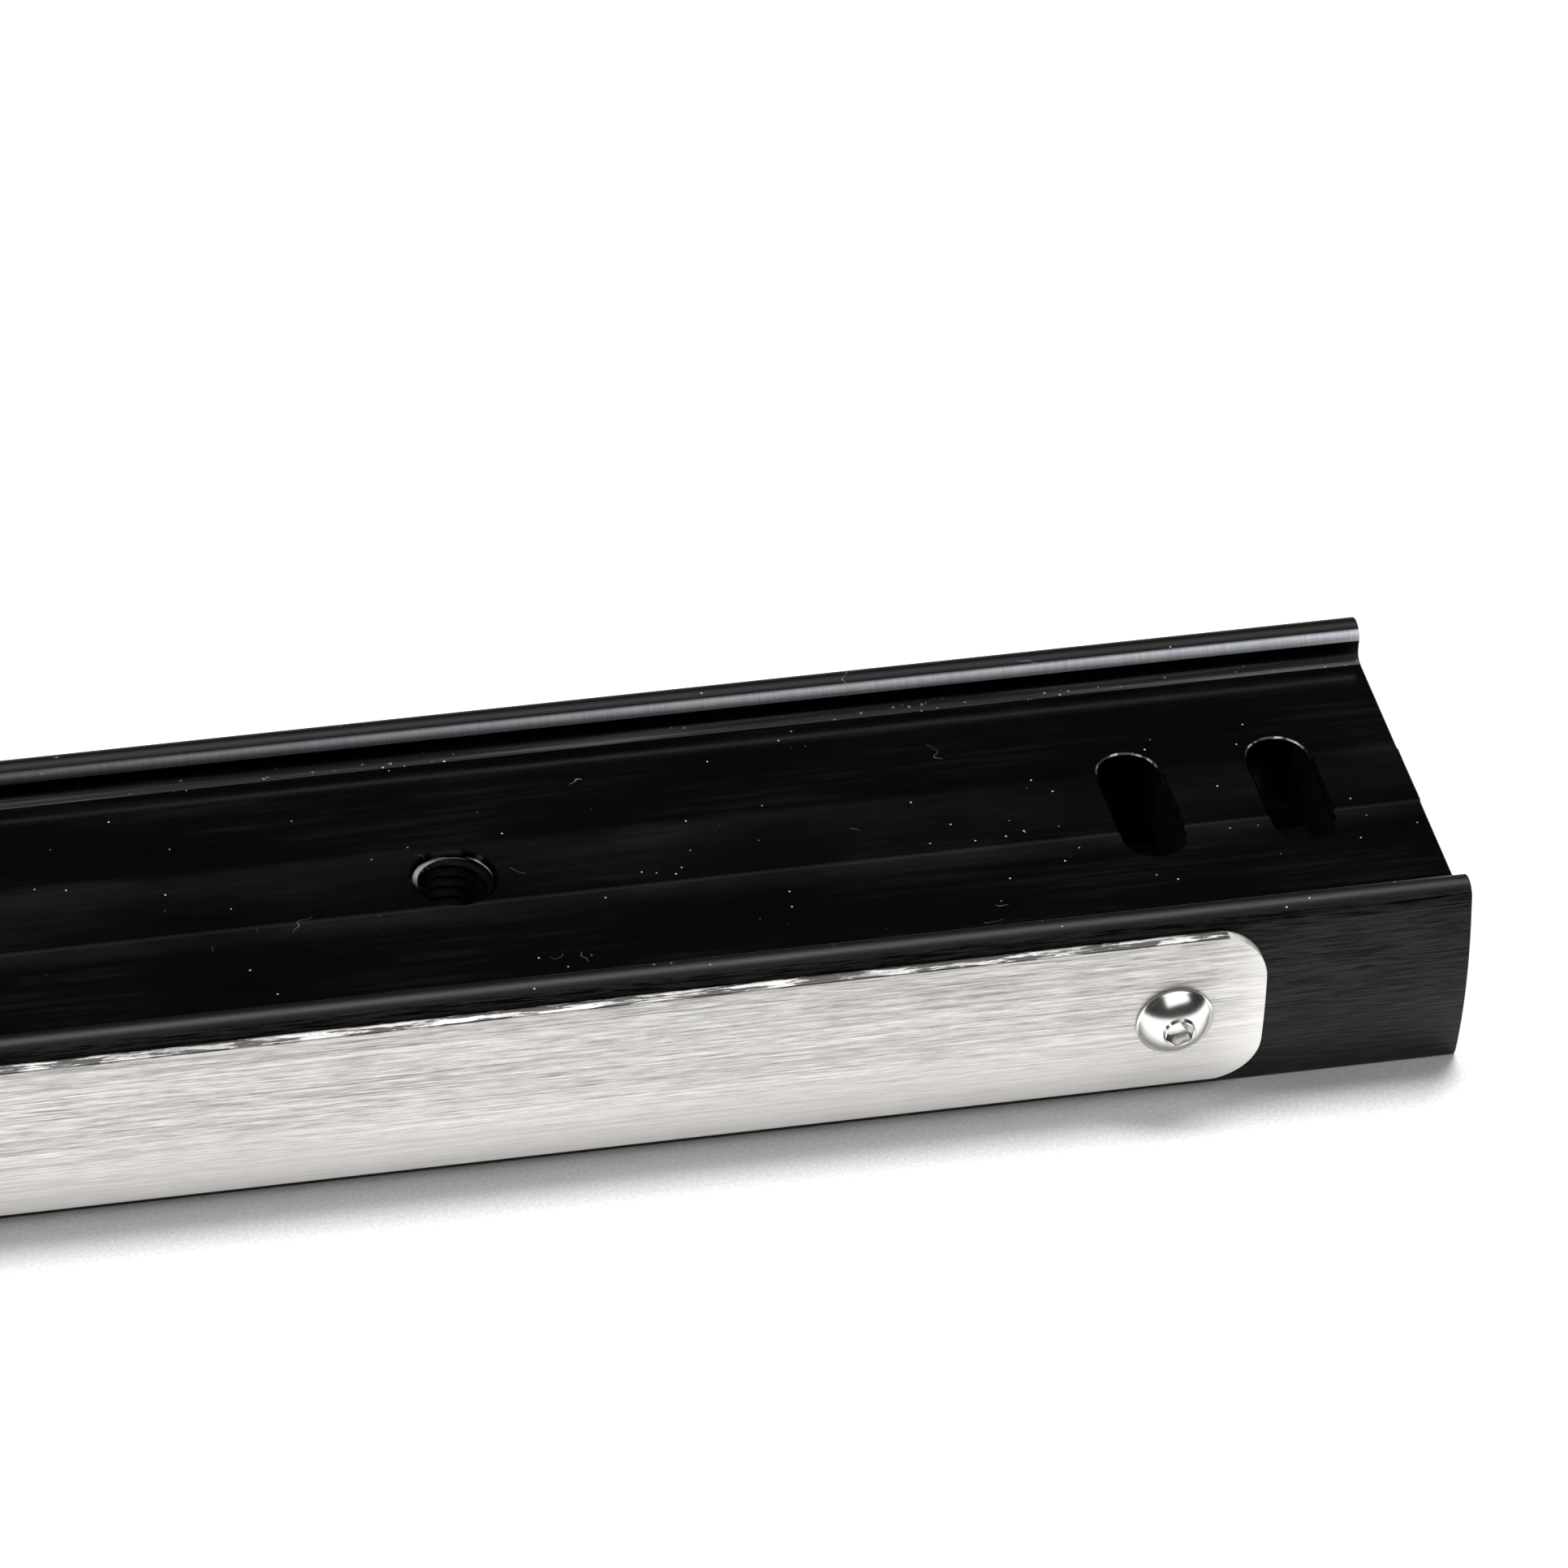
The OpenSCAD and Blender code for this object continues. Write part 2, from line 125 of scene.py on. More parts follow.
def lofted(name, rings):
    """A closed solid through rings that all have the same number of points."""
    count = len(rings[0])
    faces = [tuple(range(count)), tuple(range((len(rings) - 1) * count, len(rings) * count))]
    for k in range(len(rings) - 1):
        low, high = k * count, (k + 1) * count
        faces += [(low + i, low + (i + 1) % count, high + (i + 1) % count, high + i) for i in range(count)]
    return new_piece(name, [p for ring in rings for p in ring], faces)


def round_outline(length, width, radius, grow=0.0, steps=12):
    """A rectangle with round corners as (x, y) points, anticlockwise, grown outwards."""
    length, width, radius = length + 2 * grow, width + 2 * grow, radius + grow
    points = []
    for quarter, (sx, sy) in enumerate([(1, 1), (-1, 1), (-1, -1), (1, -1)]):
        centre = (sx * (length / 2 - radius), sy * (width / 2 - radius))
        points += arc(centre, radius, quarter * 90, quarter * 90 + 90, steps)
    return points


def stacked(name, place, shape, levels, steps=12):
    """A closed solid through one round-cornered outline at several levels of (height, growth)."""
    rings = []
    for z, grow in levels:
        outline = round_outline(*shape, grow, steps)
        rings.append([(place[0] + x, place[1] + y, z) for x, y in outline])
    return lofted(name, rings)


CUT_PAST = 0.6 * MM


def bored(name, place, shape, low, high, broken):
    """The metal that a cutter takes out of a slot or hole, with both its edges broken."""
    levels = [(low - CUT_PAST, broken + CUT_PAST), (low, broken), (low + broken, 0)]
    levels += [(high - broken, 0), (high, broken), (high + CUT_PAST, broken + CUT_PAST)]
    return stacked(name, place, shape, levels)


def drilled(name, axis, middle, radius, ends):
    """The metal that a drill takes out along X or Y, round a middle on the other two axes."""
    outline = round_outline(2 * radius, 2 * radius, radius, 0, 8)
    ring = [(middle[0] + a, middle[1] + b) for a, b in outline]
    if axis == "X":
        return lofted(name, [[(x, a, b) for a, b in ring] for x in ends])
    return lofted(name, [[(a, y, b) for a, b in ring] for y in ends])


def tapped(name, place, major, minor, pitch, low, high, sink):
    """The metal that a countersink and a tap take out: a groove that winds round the hole."""
    around, rise = 72, high - low + 2 * CUT_PAST
    rows = math.ceil(rise / (pitch / 10))
    rings = []
    for k in range(rows + 1):
        z = low - CUT_PAST + rise * k / rows
        coned = sink - min(high - z, z - low)
        ring = []
        for i in range(around):
            turn = (z / pitch - i / around) % 1
            groove = min(1, max(0, 1.25 - 2.7 * abs(turn - 0.5)))
            reach = max(minor + (major - minor) * groove, coned)
            angle = math.tau * i / around
            ring.append((place[0] + reach * math.cos(angle), place[1] + reach * math.sin(angle), z))
        rings.append(ring)
    return lofted(name, rings)


def joined(name, pieces):
    """Several pieces as one mesh; the pieces themselves go."""
    work = bmesh.new()
    for piece in pieces:
        work.from_mesh(piece.data)
        bpy.data.objects.remove(piece)
    mesh = bpy.data.meshes.new(name)
    work.to_mesh(mesh)
    work.free()
    return in_scene(name, mesh)


def settled(piece):
    """The piece with its modifiers carried out, as a plain mesh."""
    evaluated = piece.evaluated_get(bpy.context.evaluated_depsgraph_get())
    mesh = bpy.data.meshes.new_from_object(evaluated)
    piece.modifiers.clear()
    piece.data = mesh
    return piece


def machined(piece, cutters):
    """The piece less its cutters, which don't overlap each other."""
    tool = joined("tool", cutters)
    cut = piece.modifiers.new("cut", "BOOLEAN")
    cut.operation, cut.solver, cut.object = "DIFFERENCE", "EXACT", tool
    settled(piece)
    bpy.data.objects.remove(tool)
    return piece


def smoothed(piece, angle=32):
    """Smooth shading with crisp edges, and flat faces kept flat."""
    piece.data.shade_smooth()
    piece.data.set_sharp_from_angle(angle=math.radians(angle))
    flat = piece.modifiers.new("flat", "WEIGHTED_NORMAL")
    flat.keep_sharp, flat.weight = True, 90
    return settled(piece)


def clad(piece, finish):
    """The piece in one finish all over."""
    piece.data.materials.clear()
    piece.data.materials.append(finish)
    for face in piece.data.polygons:
        face.material_index = 0


class Link:
    """A socket of a node tree, so that sums on it read as plain sums and add their Math nodes."""

    def __init__(self, socket):
        self.socket = socket

    def node(self, kind, settings=None, sockets=None, output=0):
        """One more node: its type, its settings, then the values or links of its sockets."""
        tree = self.socket.id_data
        made = tree.nodes.new(kind)
        for key, value in (settings or {}).items():
            if key == "stops":
                ramp = made.color_ramp.elements
                while len(ramp) < len(value):
                    ramp.new(1)
                for element, (place, grey) in zip(ramp, value):
                    element.position, element.color = place, (grey, grey, grey, 1)
            else:
                setattr(made, key, value)
        for key, value in (sockets or {}).items():
            if isinstance(value, Link):
                tree.links.new(value.socket, made.inputs[key])
            else:
                made.inputs[key].default_value = value
        return Link(made.outputs[output])

    def math(self, operation, one, two=0.0, clamp=False):
        return self.node("ShaderNodeMath", {"operation": operation, "use_clamp": clamp}, {0: one, 1: two})

    def __add__(self, other):
        return self.math("ADD", self, other)

    def __sub__(self, other):
        return self.math("SUBTRACT", self, other)

    def __rsub__(self, other):
        return self.math("SUBTRACT", other, self)

    def __mul__(self, other):
        return self.math("MULTIPLY", self, other)

    def __abs__(self):
        return self.math("ABSOLUTE", self)

    __radd__ = __add__
    __rmul__ = __mul__

    def above(self, level, soft):
        """0 below level, 1 above it, over a soft edge."""
        return self.math("MULTIPLY", self - (level - soft / 2), 1 / soft, clamp=True)

    def between(self, low, high, soft):
        return self.above(low, soft) * (1 - self.above(high, soft))

    def axes(self):
        """The three parts of a vector."""
        parts = self.node("ShaderNodeSeparateXYZ", None, {0: self})
        return [Link(output) for output in parts.socket.node.outputs]

    def stretched(self, x, y, z):
        return self.node("ShaderNodeVectorMath", {"operation": "MULTIPLY"}, {0: self, 1: (x, y, z)})

    def noise(self, scale, detail=4.0, rough=0.55):
        sockets = {"Vector": self, "Scale": scale, "Detail": detail, "Roughness": rough}
        return self.node("ShaderNodeTexNoise", None, sockets)

    def cells(self, scale):
        """Distance to the nearest of many scattered points."""
        return self.node("ShaderNodeTexVoronoi", None, {"Vector": self, "Scale": scale, "Randomness": 1.0})

    def tone(self, one, two):
        """A colour that goes from one to two as this value goes from 0 to 1."""
        one, two = [c if isinstance(c, Link) else (*c, 1) for c in (one, two)]
        sockets = {0: self, 6: one, 7: two}
        return self.node("ShaderNodeMix", {"data_type": "RGBA"}, sockets, output=2)

    def relief(self, depth):
        """A bump of this height in metres."""
        return self.node("ShaderNodeBump", None, {"Height": self, "Distance": depth, "Strength": 1.0})


def new_finish(name, **constants):
    """A finish with its constants set, and the place on the piece as a link."""
    finish = bpy.data.materials.new(name)
    finish.use_nodes = True
    tree = finish.node_tree
    shader = tree.nodes["Principled BSDF"]
    for key, value in constants.items():
        shader.inputs[key.replace("_", " ")].default_value = value
    return finish, Link(tree.nodes.new("ShaderNodeTexCoord").outputs["Object"])


def apply_to(finish, **looks):
    """Links what varies over the surface to the finish's shader."""
    tree = finish.node_tree
    shader = tree.nodes["Principled BSDF"]
    for key, value in looks.items():
        tree.links.new(value.socket, shader.inputs[key.replace("_", " ")])
    return finish


def black_extrusion():
    """Black anodising over die lines and fine white dust, with wear at the machined edges; painted
    highlights on the chamfers, wall fillets and machined lip, and painted reflections on the channel floor
    and lower flanks.
    """
    finish, place = new_finish("black anodised extrusion", IOR=1.5, Specular_IOR_Level=0.22)
    x, y, z = place.axes()
    face_x, face_y, face_z = place.node("ShaderNodeTexCoord", output="Normal").axes()
    across, frontward = abs(y), 0 - y
    wall = side_y(WALL_TOP) - 2 * WALL_ROUND

    # Where each part of the section is: 1 on it, 0 off it.
    channel = z.above(FLOOR - 0.3 * MM, 0.2 * MM) * (1 - across.above(wall - 0.9 * MM, 0.3 * MM))
    # The fillet at each wall's foot; the paler colour given to it below is a painted highlight band.
    corner = across.between(wall - 0.95 * MM, wall + 0.13 * MM, 0.1 * MM)
    corner = corner * z.between(FLOOR - 0.1 * MM, FLOOR + 1.0 * MM, 0.1 * MM)
    # The machined face under each wall's round top, fading in towards +X; its pale colour below is partly
    # the machined metal and partly a painted reflection brightening towards +X.
    lip = across.between(wall - 0.1 * MM, wall + 1.0 * MM, 0.1 * MM)
    lip = lip * z.between(WALL_TOP + 0.4 * MM, WALL_TOP + 1.32 * MM, 0.2 * MM)
    lip = lip * x.above(170 * MM, 170 * MM)
    inner_face = abs(face_y).above(0.85, 0.15) * z.above(FLOOR + 0.5 * MM, 0.3 * MM)
    inner_face = inner_face * (1 - across.above(wall + 0.4 * MM, 0.1 * MM))
    crest = z.above(WALL_TOP - 0.2 * MM, 0.4 * MM)
    flank = abs(face_y).above(0.7, 0.2) * across.above(wall + 0.5 * MM, 0.5 * MM)
    # Lower flank: painted paler below as a painted reflection of the table.
    low_flank_painted_light = flank * (1 - z.above(RAIL_MID - 2 * MM, 7 * MM))
    cut_end = abs(face_x).above(0.75, 0.1)
    slotted = abs(x).above(RAIL_LENGTH / 2 - 50 * MM, 1 * MM)
    hole = (1 - across.above(wall - 0.9 * MM, 0.1 * MM)) * (1 - z.above(FLOOR - 0.04 * MM, 0.06 * MM))
    hole = hole * z.above(WEB_UNDER + 0.05 * MM, 0.05 * MM)
    # Chamfers of slots and holes where the anodising is gone, kept to the faces turned to the front, which
    # makes them partly a painted highlight.
    worn_and_highlit = hole * face_z.between(0.35, 0.95, 0.1) * z.above(FLOOR - 0.62 * MM, 0.05 * MM)
    worn_and_highlit = worn_and_highlit * (0 - face_y).above(0.1, 0.3)
    worn_and_highlit = worn_and_highlit * (1 - z.above(FLOOR - 0.22 * MM, 0.06 * MM) * (1 - slotted))
    # Painted reflections on the channel floor: a band in front of the land fading forwards, and a rise
    # across the land.
    painted_front_reflection = frontward.between(LAND_HALF + 0.1 * MM, LAND_HALF + 3 * MM, 0.2 * MM)
    painted_front_reflection = painted_front_reflection * (1 - frontward.above(LAND_HALF + 1.5 * MM, 3 * MM))
    painted_land_sheen = y.above(0.0, 2 * LAND_HALF) * (1 - y.above(LAND_HALF + 1 * MM, 1 * MM))

    # What the die, the cutter, the saw and handling leave on it.
    die_lines = place.stretched(1.2, 240, 240).noise(30, 5, 0.6)
    corner_lines = place.stretched(0.8, 60, 60).noise(32, 3, 0.6).above(0.56, 0.12)
    streaks = place.stretched(2.5, 60, 60).noise(22, 4, 0.6).above(0.56, 0.2)
    grain = place.stretched(12, 900, 900).noise(9, 4, 0.65)
    clouds = place.stretched(1, 3, 3).noise(42, 4, 0.6)
    brushing = place.stretched(24, 760, 760).noise(9, 4, 0.75)
    rubbed = flank * brushing.above(0.5, 0.16)
    tool_marks = place.stretched(1000, 40, 12).noise(4.5, 5, 0.75)
    saw_marks = place.stretched(1, 160, 900).noise(12, 4, 0.6)
    chips = place.noise(640, 3, 0.6).above(0.52, 0.08)
    specks = (1 - place.cells(560).above(0.05, 0.025)) * place.noise(160, 2, 0.5).above(0.52, 0.03)
    swept = (1 - place.cells(1100).above(0.13, 0.05)) * place.noise(90, 2, 0.5).above(0.48, 0.05)
    fibre_path = abs(place.noise(230, 2, 0.5) - 0.5)
    fibre = (1 - fibre_path.above(0.0016, 0.0014)) * place.noise(120, 1, 0.4).above(0.70, 0.01)
    dust = (specks + swept * corner + fibre * 0.35) * face_z.above(0.35, 0.3)
    dust = dust.math("MINIMUM", dust, 1.0)

    base = (die_lines * 0.3 + clouds * 0.7).tone((0.0006, 0.0006, 0.0007), (0.0022, 0.0022, 0.0024))
    streaked = streaks * clouds.above(0.52, 0.12) * channel
    base = (streaked * 0.2).tone(base, (0.02, 0.02, 0.021))
    # Brushed rubbing paler on the flank is real; the lower flank made paler is a painted reflection of the
    # table.
    base = (rubbed * 0.5 + low_flank_painted_light * 0.4).tone(base, (0.030, 0.030, 0.031))
    # Painted reflection: the floor made paler in front of the land and across it.
    lighter = (painted_front_reflection * 0.75 + painted_land_sheen * 0.4) * channel * clouds.above(0.45, 0.4)
    base = lighter.tone(base, (0.016, 0.016, 0.017))
    # Painted highlight: the wall fillets paler, striped by their die lines.
    base = (corner * (0.12 + corner_lines * 0.9)).tone(base, (0.055, 0.055, 0.058))
    # Machined face with tool marks, partly its own metal and partly a painted reflection that brightens
    # towards +X.
    base = (lip * (tool_marks * 0.8 + grain * 0.5 + 0.15)).tone(base, (0.56, 0.58, 0.62))
    base = (cut_end * saw_marks * 0.5).tone(base, (0.03, 0.03, 0.03))
    # Metal showing through on the chamfers: partly real wear, partly a painted highlight on the faces
    # turned to the front.
    bare_and_highlight = worn_and_highlit * (slotted * (0.08 + chips * 0.75) + (1 - slotted) * 0.4)
    base = bare_and_highlight.tone(base, (0.55, 0.55, 0.56))
    base = dust.tone(base, (0.42, 0.42, 0.40))

    # A metal as black as this reflects less than the plain coating: the deeper the black, the more.
    rear_side, sloping = y.above(0.0, 1 * MM), channel * (1 - face_z.above(0.86, 0.1))
    metal = channel * (0.45 - corner * 0.35) + (hole - worn_and_highlit) * 0.72 + inner_face * 0.8
    metal = metal + crest * (0.35 + rear_side * 0.35) * (1 - lip) + flank * 0.62 - rubbed * 0.45
    metal = metal + sloping * (1 - corner) * (1 - hole) * 0.35
    rough = 0.36 + grain * 0.2 - channel * (0.36 - clouds * 0.1)
    rough = rough + corner * 0.15 + lip * 0.1 + cut_end * 0.15 + dust * 0.3
    height = grain * (0.35 - channel * 0.28) + die_lines * (0.5 - channel * 0.46)
    height = height + flank * brushing * 0.9 + lip * tool_marks * 1.3 + cut_end * saw_marks * 1.5
    looks = {"Base_Color": base, "Roughness": rough, "Metallic": metal}
    return apply_to(finish, **looks, Normal=height.relief(0.006 * MM))


def new_tree(name, inputs):
    """A Geometry Nodes tree with named inputs: the tree, its inputs as links, its output."""
    tree = bpy.data.node_groups.new(name, "GeometryNodeTree")
    tree.is_modifier = True
    for key, kind in ({"Geometry": "Geometry"} | inputs).items():
        tree.interface.new_socket(key, in_out="INPUT", socket_type="NodeSocket" + kind)
    tree.interface.new_socket("Geometry", in_out="OUTPUT", socket_type="NodeSocketGeometry")
    taken = tree.nodes.new("NodeGroupInput")
    given = tree.nodes.new("NodeGroupOutput")
    return tree, {s.name: Link(s) for s in taken.outputs if s.name}, given.inputs[0]


def ended(tree, last, take, give):
    """The tree with its end on: instances made real, in one finish."""
    real = last.node("GeometryNodeRealizeInstances", None, {"Geometry": last})
    sockets = {"Geometry": real, "Material": take["Finish"]}
    tree.links.new(real.node("GeometryNodeSetMaterial", None, sockets).socket, give)
    return tree


def grown(name, tree, values, start=None):
    """The plain mesh that a tree makes from these values."""
    holder = start or in_scene(name, bpy.data.meshes.new(name))
    holder.name = name
    maker = holder.modifiers.new("maker", "NODES")
    maker.node_group = tree
    for item in tree.interface.items_tree:
        if item.in_out == "INPUT" and item.name in values:
            maker[item.identifier] = values[item.name]
    return settled(holder)


def extrusion_tree():
    """Pushes a section along X, and breaks the edges of both sawn ends by its own inset."""
    inputs = {"Length": "Float", "Broken edge": "Float", "Finish": "Material"}
    tree, take, give = new_tree("sawn extrusion", inputs)
    section, broken = take["Geometry"], take["Broken edge"]
    named, scale = {"data_type": "FLOAT_VECTOR"}, {"operation": "SCALE"}
    inset = section.node("GeometryNodeInputNamedAttribute", named, {"Name": "inset"})
    shift = inset.node("ShaderNodeVectorMath", scale, {0: inset, "Scale": broken})
    back = inset.node("ShaderNodeVectorMath", scale, {0: shift, "Scale": -1.0})
    body_length = take["Length"] - broken * 2

    def moved(solid, by, chosen=True):
        sockets = {"Geometry": solid, "Selection": chosen, "Offset": by}
        return solid.node("GeometryNodeSetPosition", None, sockets)

    def along(distance):
        return section.node("ShaderNodeCombineXYZ", None, {"X": distance})

    base = moved(moved(section, along(take["Length"] * -0.5)), shift)
    solid, chosen = base, True
    for distance, settle in ((broken, back), (body_length, None), (broken, shift)):
        sockets = {"Mesh": solid, "Selection": chosen, "Offset": along(distance)}
        sockets |= {"Offset Scale": 1.0, "Individual": False}
        solid = solid.node("GeometryNodeExtrudeMesh", {"mode": "FACES"}, sockets)
        chosen = Link(solid.socket.node.outputs["Top"])
        if settle:
            solid = moved(solid, settle, chosen)
    closed = base.node("GeometryNodeFlipFaces", None, {"Mesh": base})
    both = solid.node("GeometryNodeJoinGeometry", None, {"Geometry": solid})
    tree.links.new(closed.socket, both.socket.node.inputs["Geometry"])
    merged = both.node("GeometryNodeMergeByDistance", None, {"Geometry": both, "Distance": 1e-7})
    return ended(tree, merged, take, give)


def section_face(name, outline):
    """A section as one face, with the direction in which each corner moves when its edge is broken."""
    piece = in_scene(name, bpy.data.meshes.new(name))
    count = len(outline)
    piece.data.from_pydata([(0, y, z) for y, z in outline], [], [tuple(range(count))])
    inset = piece.data.attributes.new("inset", "FLOAT_VECTOR", "POINT")
    for k, here in enumerate(outline):
        before, after = Vector(outline[k - 1]), Vector(outline[(k + 1) % count])
        one, two = (Vector(here) - before).normalized(), (after - Vector(here)).normalized()
        inward = (Vector((-one.y, one.x)) + Vector((-two.y, two.x))).normalized()
        inset.data[k].vector = (0, inward.x, inward.y)
    return piece


rail_finish = black_extrusion()
rail = grown(
    "extruded_rail",
    extrusion_tree(),
    {"Length": RAIL_LENGTH, "Broken edge": 0.12 * MM, "Finish": rail_finish},
    start=section_face("section", rail_section()),
)
SLOT, SLOT_TOP = (6 * MM, 16 * MM, 3 * MM), FLOOR + 0.12 * MM
SLOT_INSETS, THREAD_INSET = (12 * MM, 27 * MM), 95 * MM
THREAD, THREAD_SINK = (4 * MM, 3.38 * MM, 1.25 * MM), 4.3 * MM
slot_places = [s * (RAIL_LENGTH / 2 - inset) for s in (-1, 1) for inset in SLOT_INSETS]
thread_places = [s * (RAIL_LENGTH / 2 - THREAD_INSET) for s in (-1, 0, 1)]
cutters = [bored("slot", (x, 0), SLOT, WEB_UNDER, SLOT_TOP, 0.3 * MM) for x in slot_places]
for x in thread_places:
    cutters.append(tapped("tap", (x, 0), *THREAD, WEB_UNDER, LAND_TOP, THREAD_SINK))
SCREW_HEAD, SCREW_SHANK, SCREW_HOLE_DEEP = 3.8 * MM, 2 * MM, 6.9 * MM
strip_screw_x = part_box("front_strip_screws")[1].x - SCREW_HEAD
for side in (-1, 1):
    ends = [side * (RAIL_HALF - SCREW_HOLE_DEEP), side * (RAIL_HALF + 1 * MM)]
    for x in (-strip_screw_x, strip_screw_x):
        cutters.append(drilled("screw hole", "Y", (x, RAIL_MID), SCREW_SHANK, ends))
rail = smoothed(machined(rail, cutters))
clad(rail, rail_finish)
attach(rail, "rail_assembly")
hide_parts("rail")


# ------------------------------
# The running strips. Stainless steel, 1.1 mm thick, brushed along its length,
# with large-radius ends; pressed to the rail's crown and held by two screws.
def brushed_strip():
    """Hairlines that run a little askew, with painted light low down and at the ends, and a dark burr on a
    top edge painted darker as shade.
    """
    half_high = 8.7 * MM
    finish, place = new_finish("brushed stainless strip", Metallic=0.8, IOR=2.5)
    x, y, z = place.axes()
    askew = x.node("ShaderNodeCombineXYZ", None, {0: x, 1: y, 2: z + x * 0.02})
    hairlines = askew.stretched(30, 60, 640).noise(7, 6, 0.75)
    long_lines = place.stretched(3, 30, 420).noise(8, 4, 0.6)
    short_cuts = place.stretched(60, 60, 2600).noise(6, 3, 0.6)
    clouds = place.noise(38, 4, 0.55)
    marks = (1 - place.cells(95).above(0.09, 0.05)) * place.noise(60, 2, 0.5).above(0.6, 0.05)
    sheen = hairlines * 0.45 + long_lines * 0.3 + short_cuts * 0.25
    greys = {"stops": [(0.40, 0.24), (0.5, 0.55), (0.60, 0.84)]}
    base = sheen.node("ShaderNodeValToRGB", greys, {0: sheen})
    warm = clouds.above(0.5, 0.4).tone((1.0, 0.955, 0.925), (0.985, 0.965, 0.91))
    multiply = {"data_type": "RGBA", "blend_type": "MULTIPLY"}
    base = base.node("ShaderNodeMix", multiply, {0: 1.0, 6: base, 7: warm}, output=2)
    # Painted light: the strip made paler towards its lower edge and towards its ends.
    painted_low_light = ((RAIL_MID - z) * (1 / half_high)).above(0.5, 1.0)
    painted_end_glare = abs(x).above(RAIL_LENGTH / 2 - 23.5 * MM, 5 * MM)
    base = (painted_low_light * 0.9 + painted_end_glare * 0.5).tone(base, (0.97, 0.95, 0.92))
    # The top edge is painted darker as shade against the overhead light; the noise along it is a real burr.
    edge = z.above(RAIL_MID + half_high - 0.1 * MM, 0.08 * MM)
    burr = edge * place.stretched(0.12, 1, 1).noise(1500, 4, 0.7).above(0.49, 0.05)
    base = (marks * 0.28 + edge * 0.4 + burr * 0.6).tone(base, (0.02, 0.019, 0.017))
    rough = 0.42 + hairlines * 0.16 + clouds * 0.06
    height = (hairlines + short_cuts * 0.8).relief(0.0035 * MM)
    return apply_to(finish, Base_Color=base, Roughness=rough, Normal=height)


strip_finish = brushed_strip()
STRIP_THICK = 1.1 * MM
STRIP_CORNER = 5 * MM
STRIP_HOLE = 2.15 * MM


def running_strip(name, side, node):
    """A strip as rows from its lower to its upper edge, each as long as the round corners allow."""
    low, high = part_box(node)
    half_length, half_height = (high.x - low.x) / 2, (high.z - low.z) / 2
    straight = half_height - STRIP_CORNER
    rows = [-straight - STRIP_CORNER * math.cos(math.pi / 2 * k / 14) for k in range(14)]
    rows += [-straight + 2 * straight * k / 10 for k in range(11)]
    rows += [straight + STRIP_CORNER * math.sin(math.pi / 2 * k / 14) for k in range(1, 15)]
    burr = 0.13 * MM
    rings = []
    for z in rows:
        over = max(0, abs(z) - straight)
        reach = half_length - STRIP_CORNER + math.sqrt(max(0, STRIP_CORNER**2 - over**2))
        shy = min(1, max(0, (half_height - abs(z)) / burr))
        inner, outer = side_y(RAIL_MID + z), side_y(RAIL_MID + z, STRIP_THICK)
        broken = outer - burr * (1 - math.sqrt(1 - (1 - shy) ** 2)) if shy < 1 else outer
        right = [(reach, outer - burr), (reach - 0.3 * burr, outer - 0.3 * burr), (reach - burr, broken)]
        ring = [(-reach, inner), (reach, inner)] + right + [(-x, y) for x, y in reversed(right)]
        rings.append([(x, side * min(y, broken), RAIL_MID + z) for x, y in ring])
    strip = lofted(name, rings)
    ends = [side * (RAIL_HALF - 1.5 * MM), side * (RAIL_HALF + 3 * MM)]
    middles = [(x, RAIL_MID) for x in (-strip_screw_x, strip_screw_x)]
    holes = [drilled("hole", "Y", middle, STRIP_HOLE, ends) for middle in middles]
    strip = smoothed(machined(strip, holes))
    clad(strip, strip_finish)
    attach(strip, "rail_assembly")
    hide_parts(node)


running_strip("front_strip", -1, "front_running_strip")
running_strip("rear_strip", 1, "rear_running_strip")


# ------------------------------
# The strip screws. Stainless M4 button-head screws with a hexagon socket,
# cold formed and polished; two through each strip into the rail's side.
def polished_steel():
    """Bright steel with faint smears and scratches."""
    finish, place = new_finish("polished stainless", Metallic=1.0, IOR=2.5)
    smears = place.noise(900, 4, 0.6)
    scratches = place.stretched(1, 1, 5).noise(2600, 3, 0.7)
    base = (smears * 0.6 + scratches * 0.4).tone((0.6192, 0.612, 0.5904), (0.86, 0.85, 0.82))
    rough = 0.16 + smears * 0.09
    return apply_to(finish, Base_Color=base, Roughness=rough, Normal=scratches.relief(0.0012 * MM))


def turned(name, outline, steps=64, ridges=None):
    """A solid turned about Z from (radius, height) points, closed on the axis or round a bore.

    ridges is (count, depth, low, high): a knurl on the rows between two heights."""
    closed = outline[0][0] > 0
    verts, rows = [], []
    for radius, height in outline:
        if radius < 1e-9:
            rows.append([len(verts)] * steps)
            verts.append((0, 0, height))
            continue
        rows.append(list(range(len(verts), len(verts) + steps)))
        for k in range(steps):
            angle = math.tau * k / steps
            reach = radius
            if ridges and ridges[2] <= height <= ridges[3]:
                reach -= ridges[1] * (0.5 + 0.5 * math.cos(angle * ridges[0]))
            verts.append((reach * math.cos(angle), reach * math.sin(angle), height))
    faces = []
    for low, high in zip(rows, rows[1:] + ([rows[0]] if closed else [])):
        for k in range(steps):
            corners = [low[k], low[(k + 1) % steps], high[(k + 1) % steps], high[k]]
            corners = [c for n, c in enumerate(corners) if c not in corners[:n]]
            if len(corners) > 2:
                faces.append(tuple(corners))
    return new_piece(name, verts, faces)


def hexagon(reach, height):
    """A hexagon's six corners at one height."""
    turns = [math.tau * k / 6 for k in range(6)]
    return [(reach * math.cos(turn), reach * math.sin(turn), height) for turn in turns]


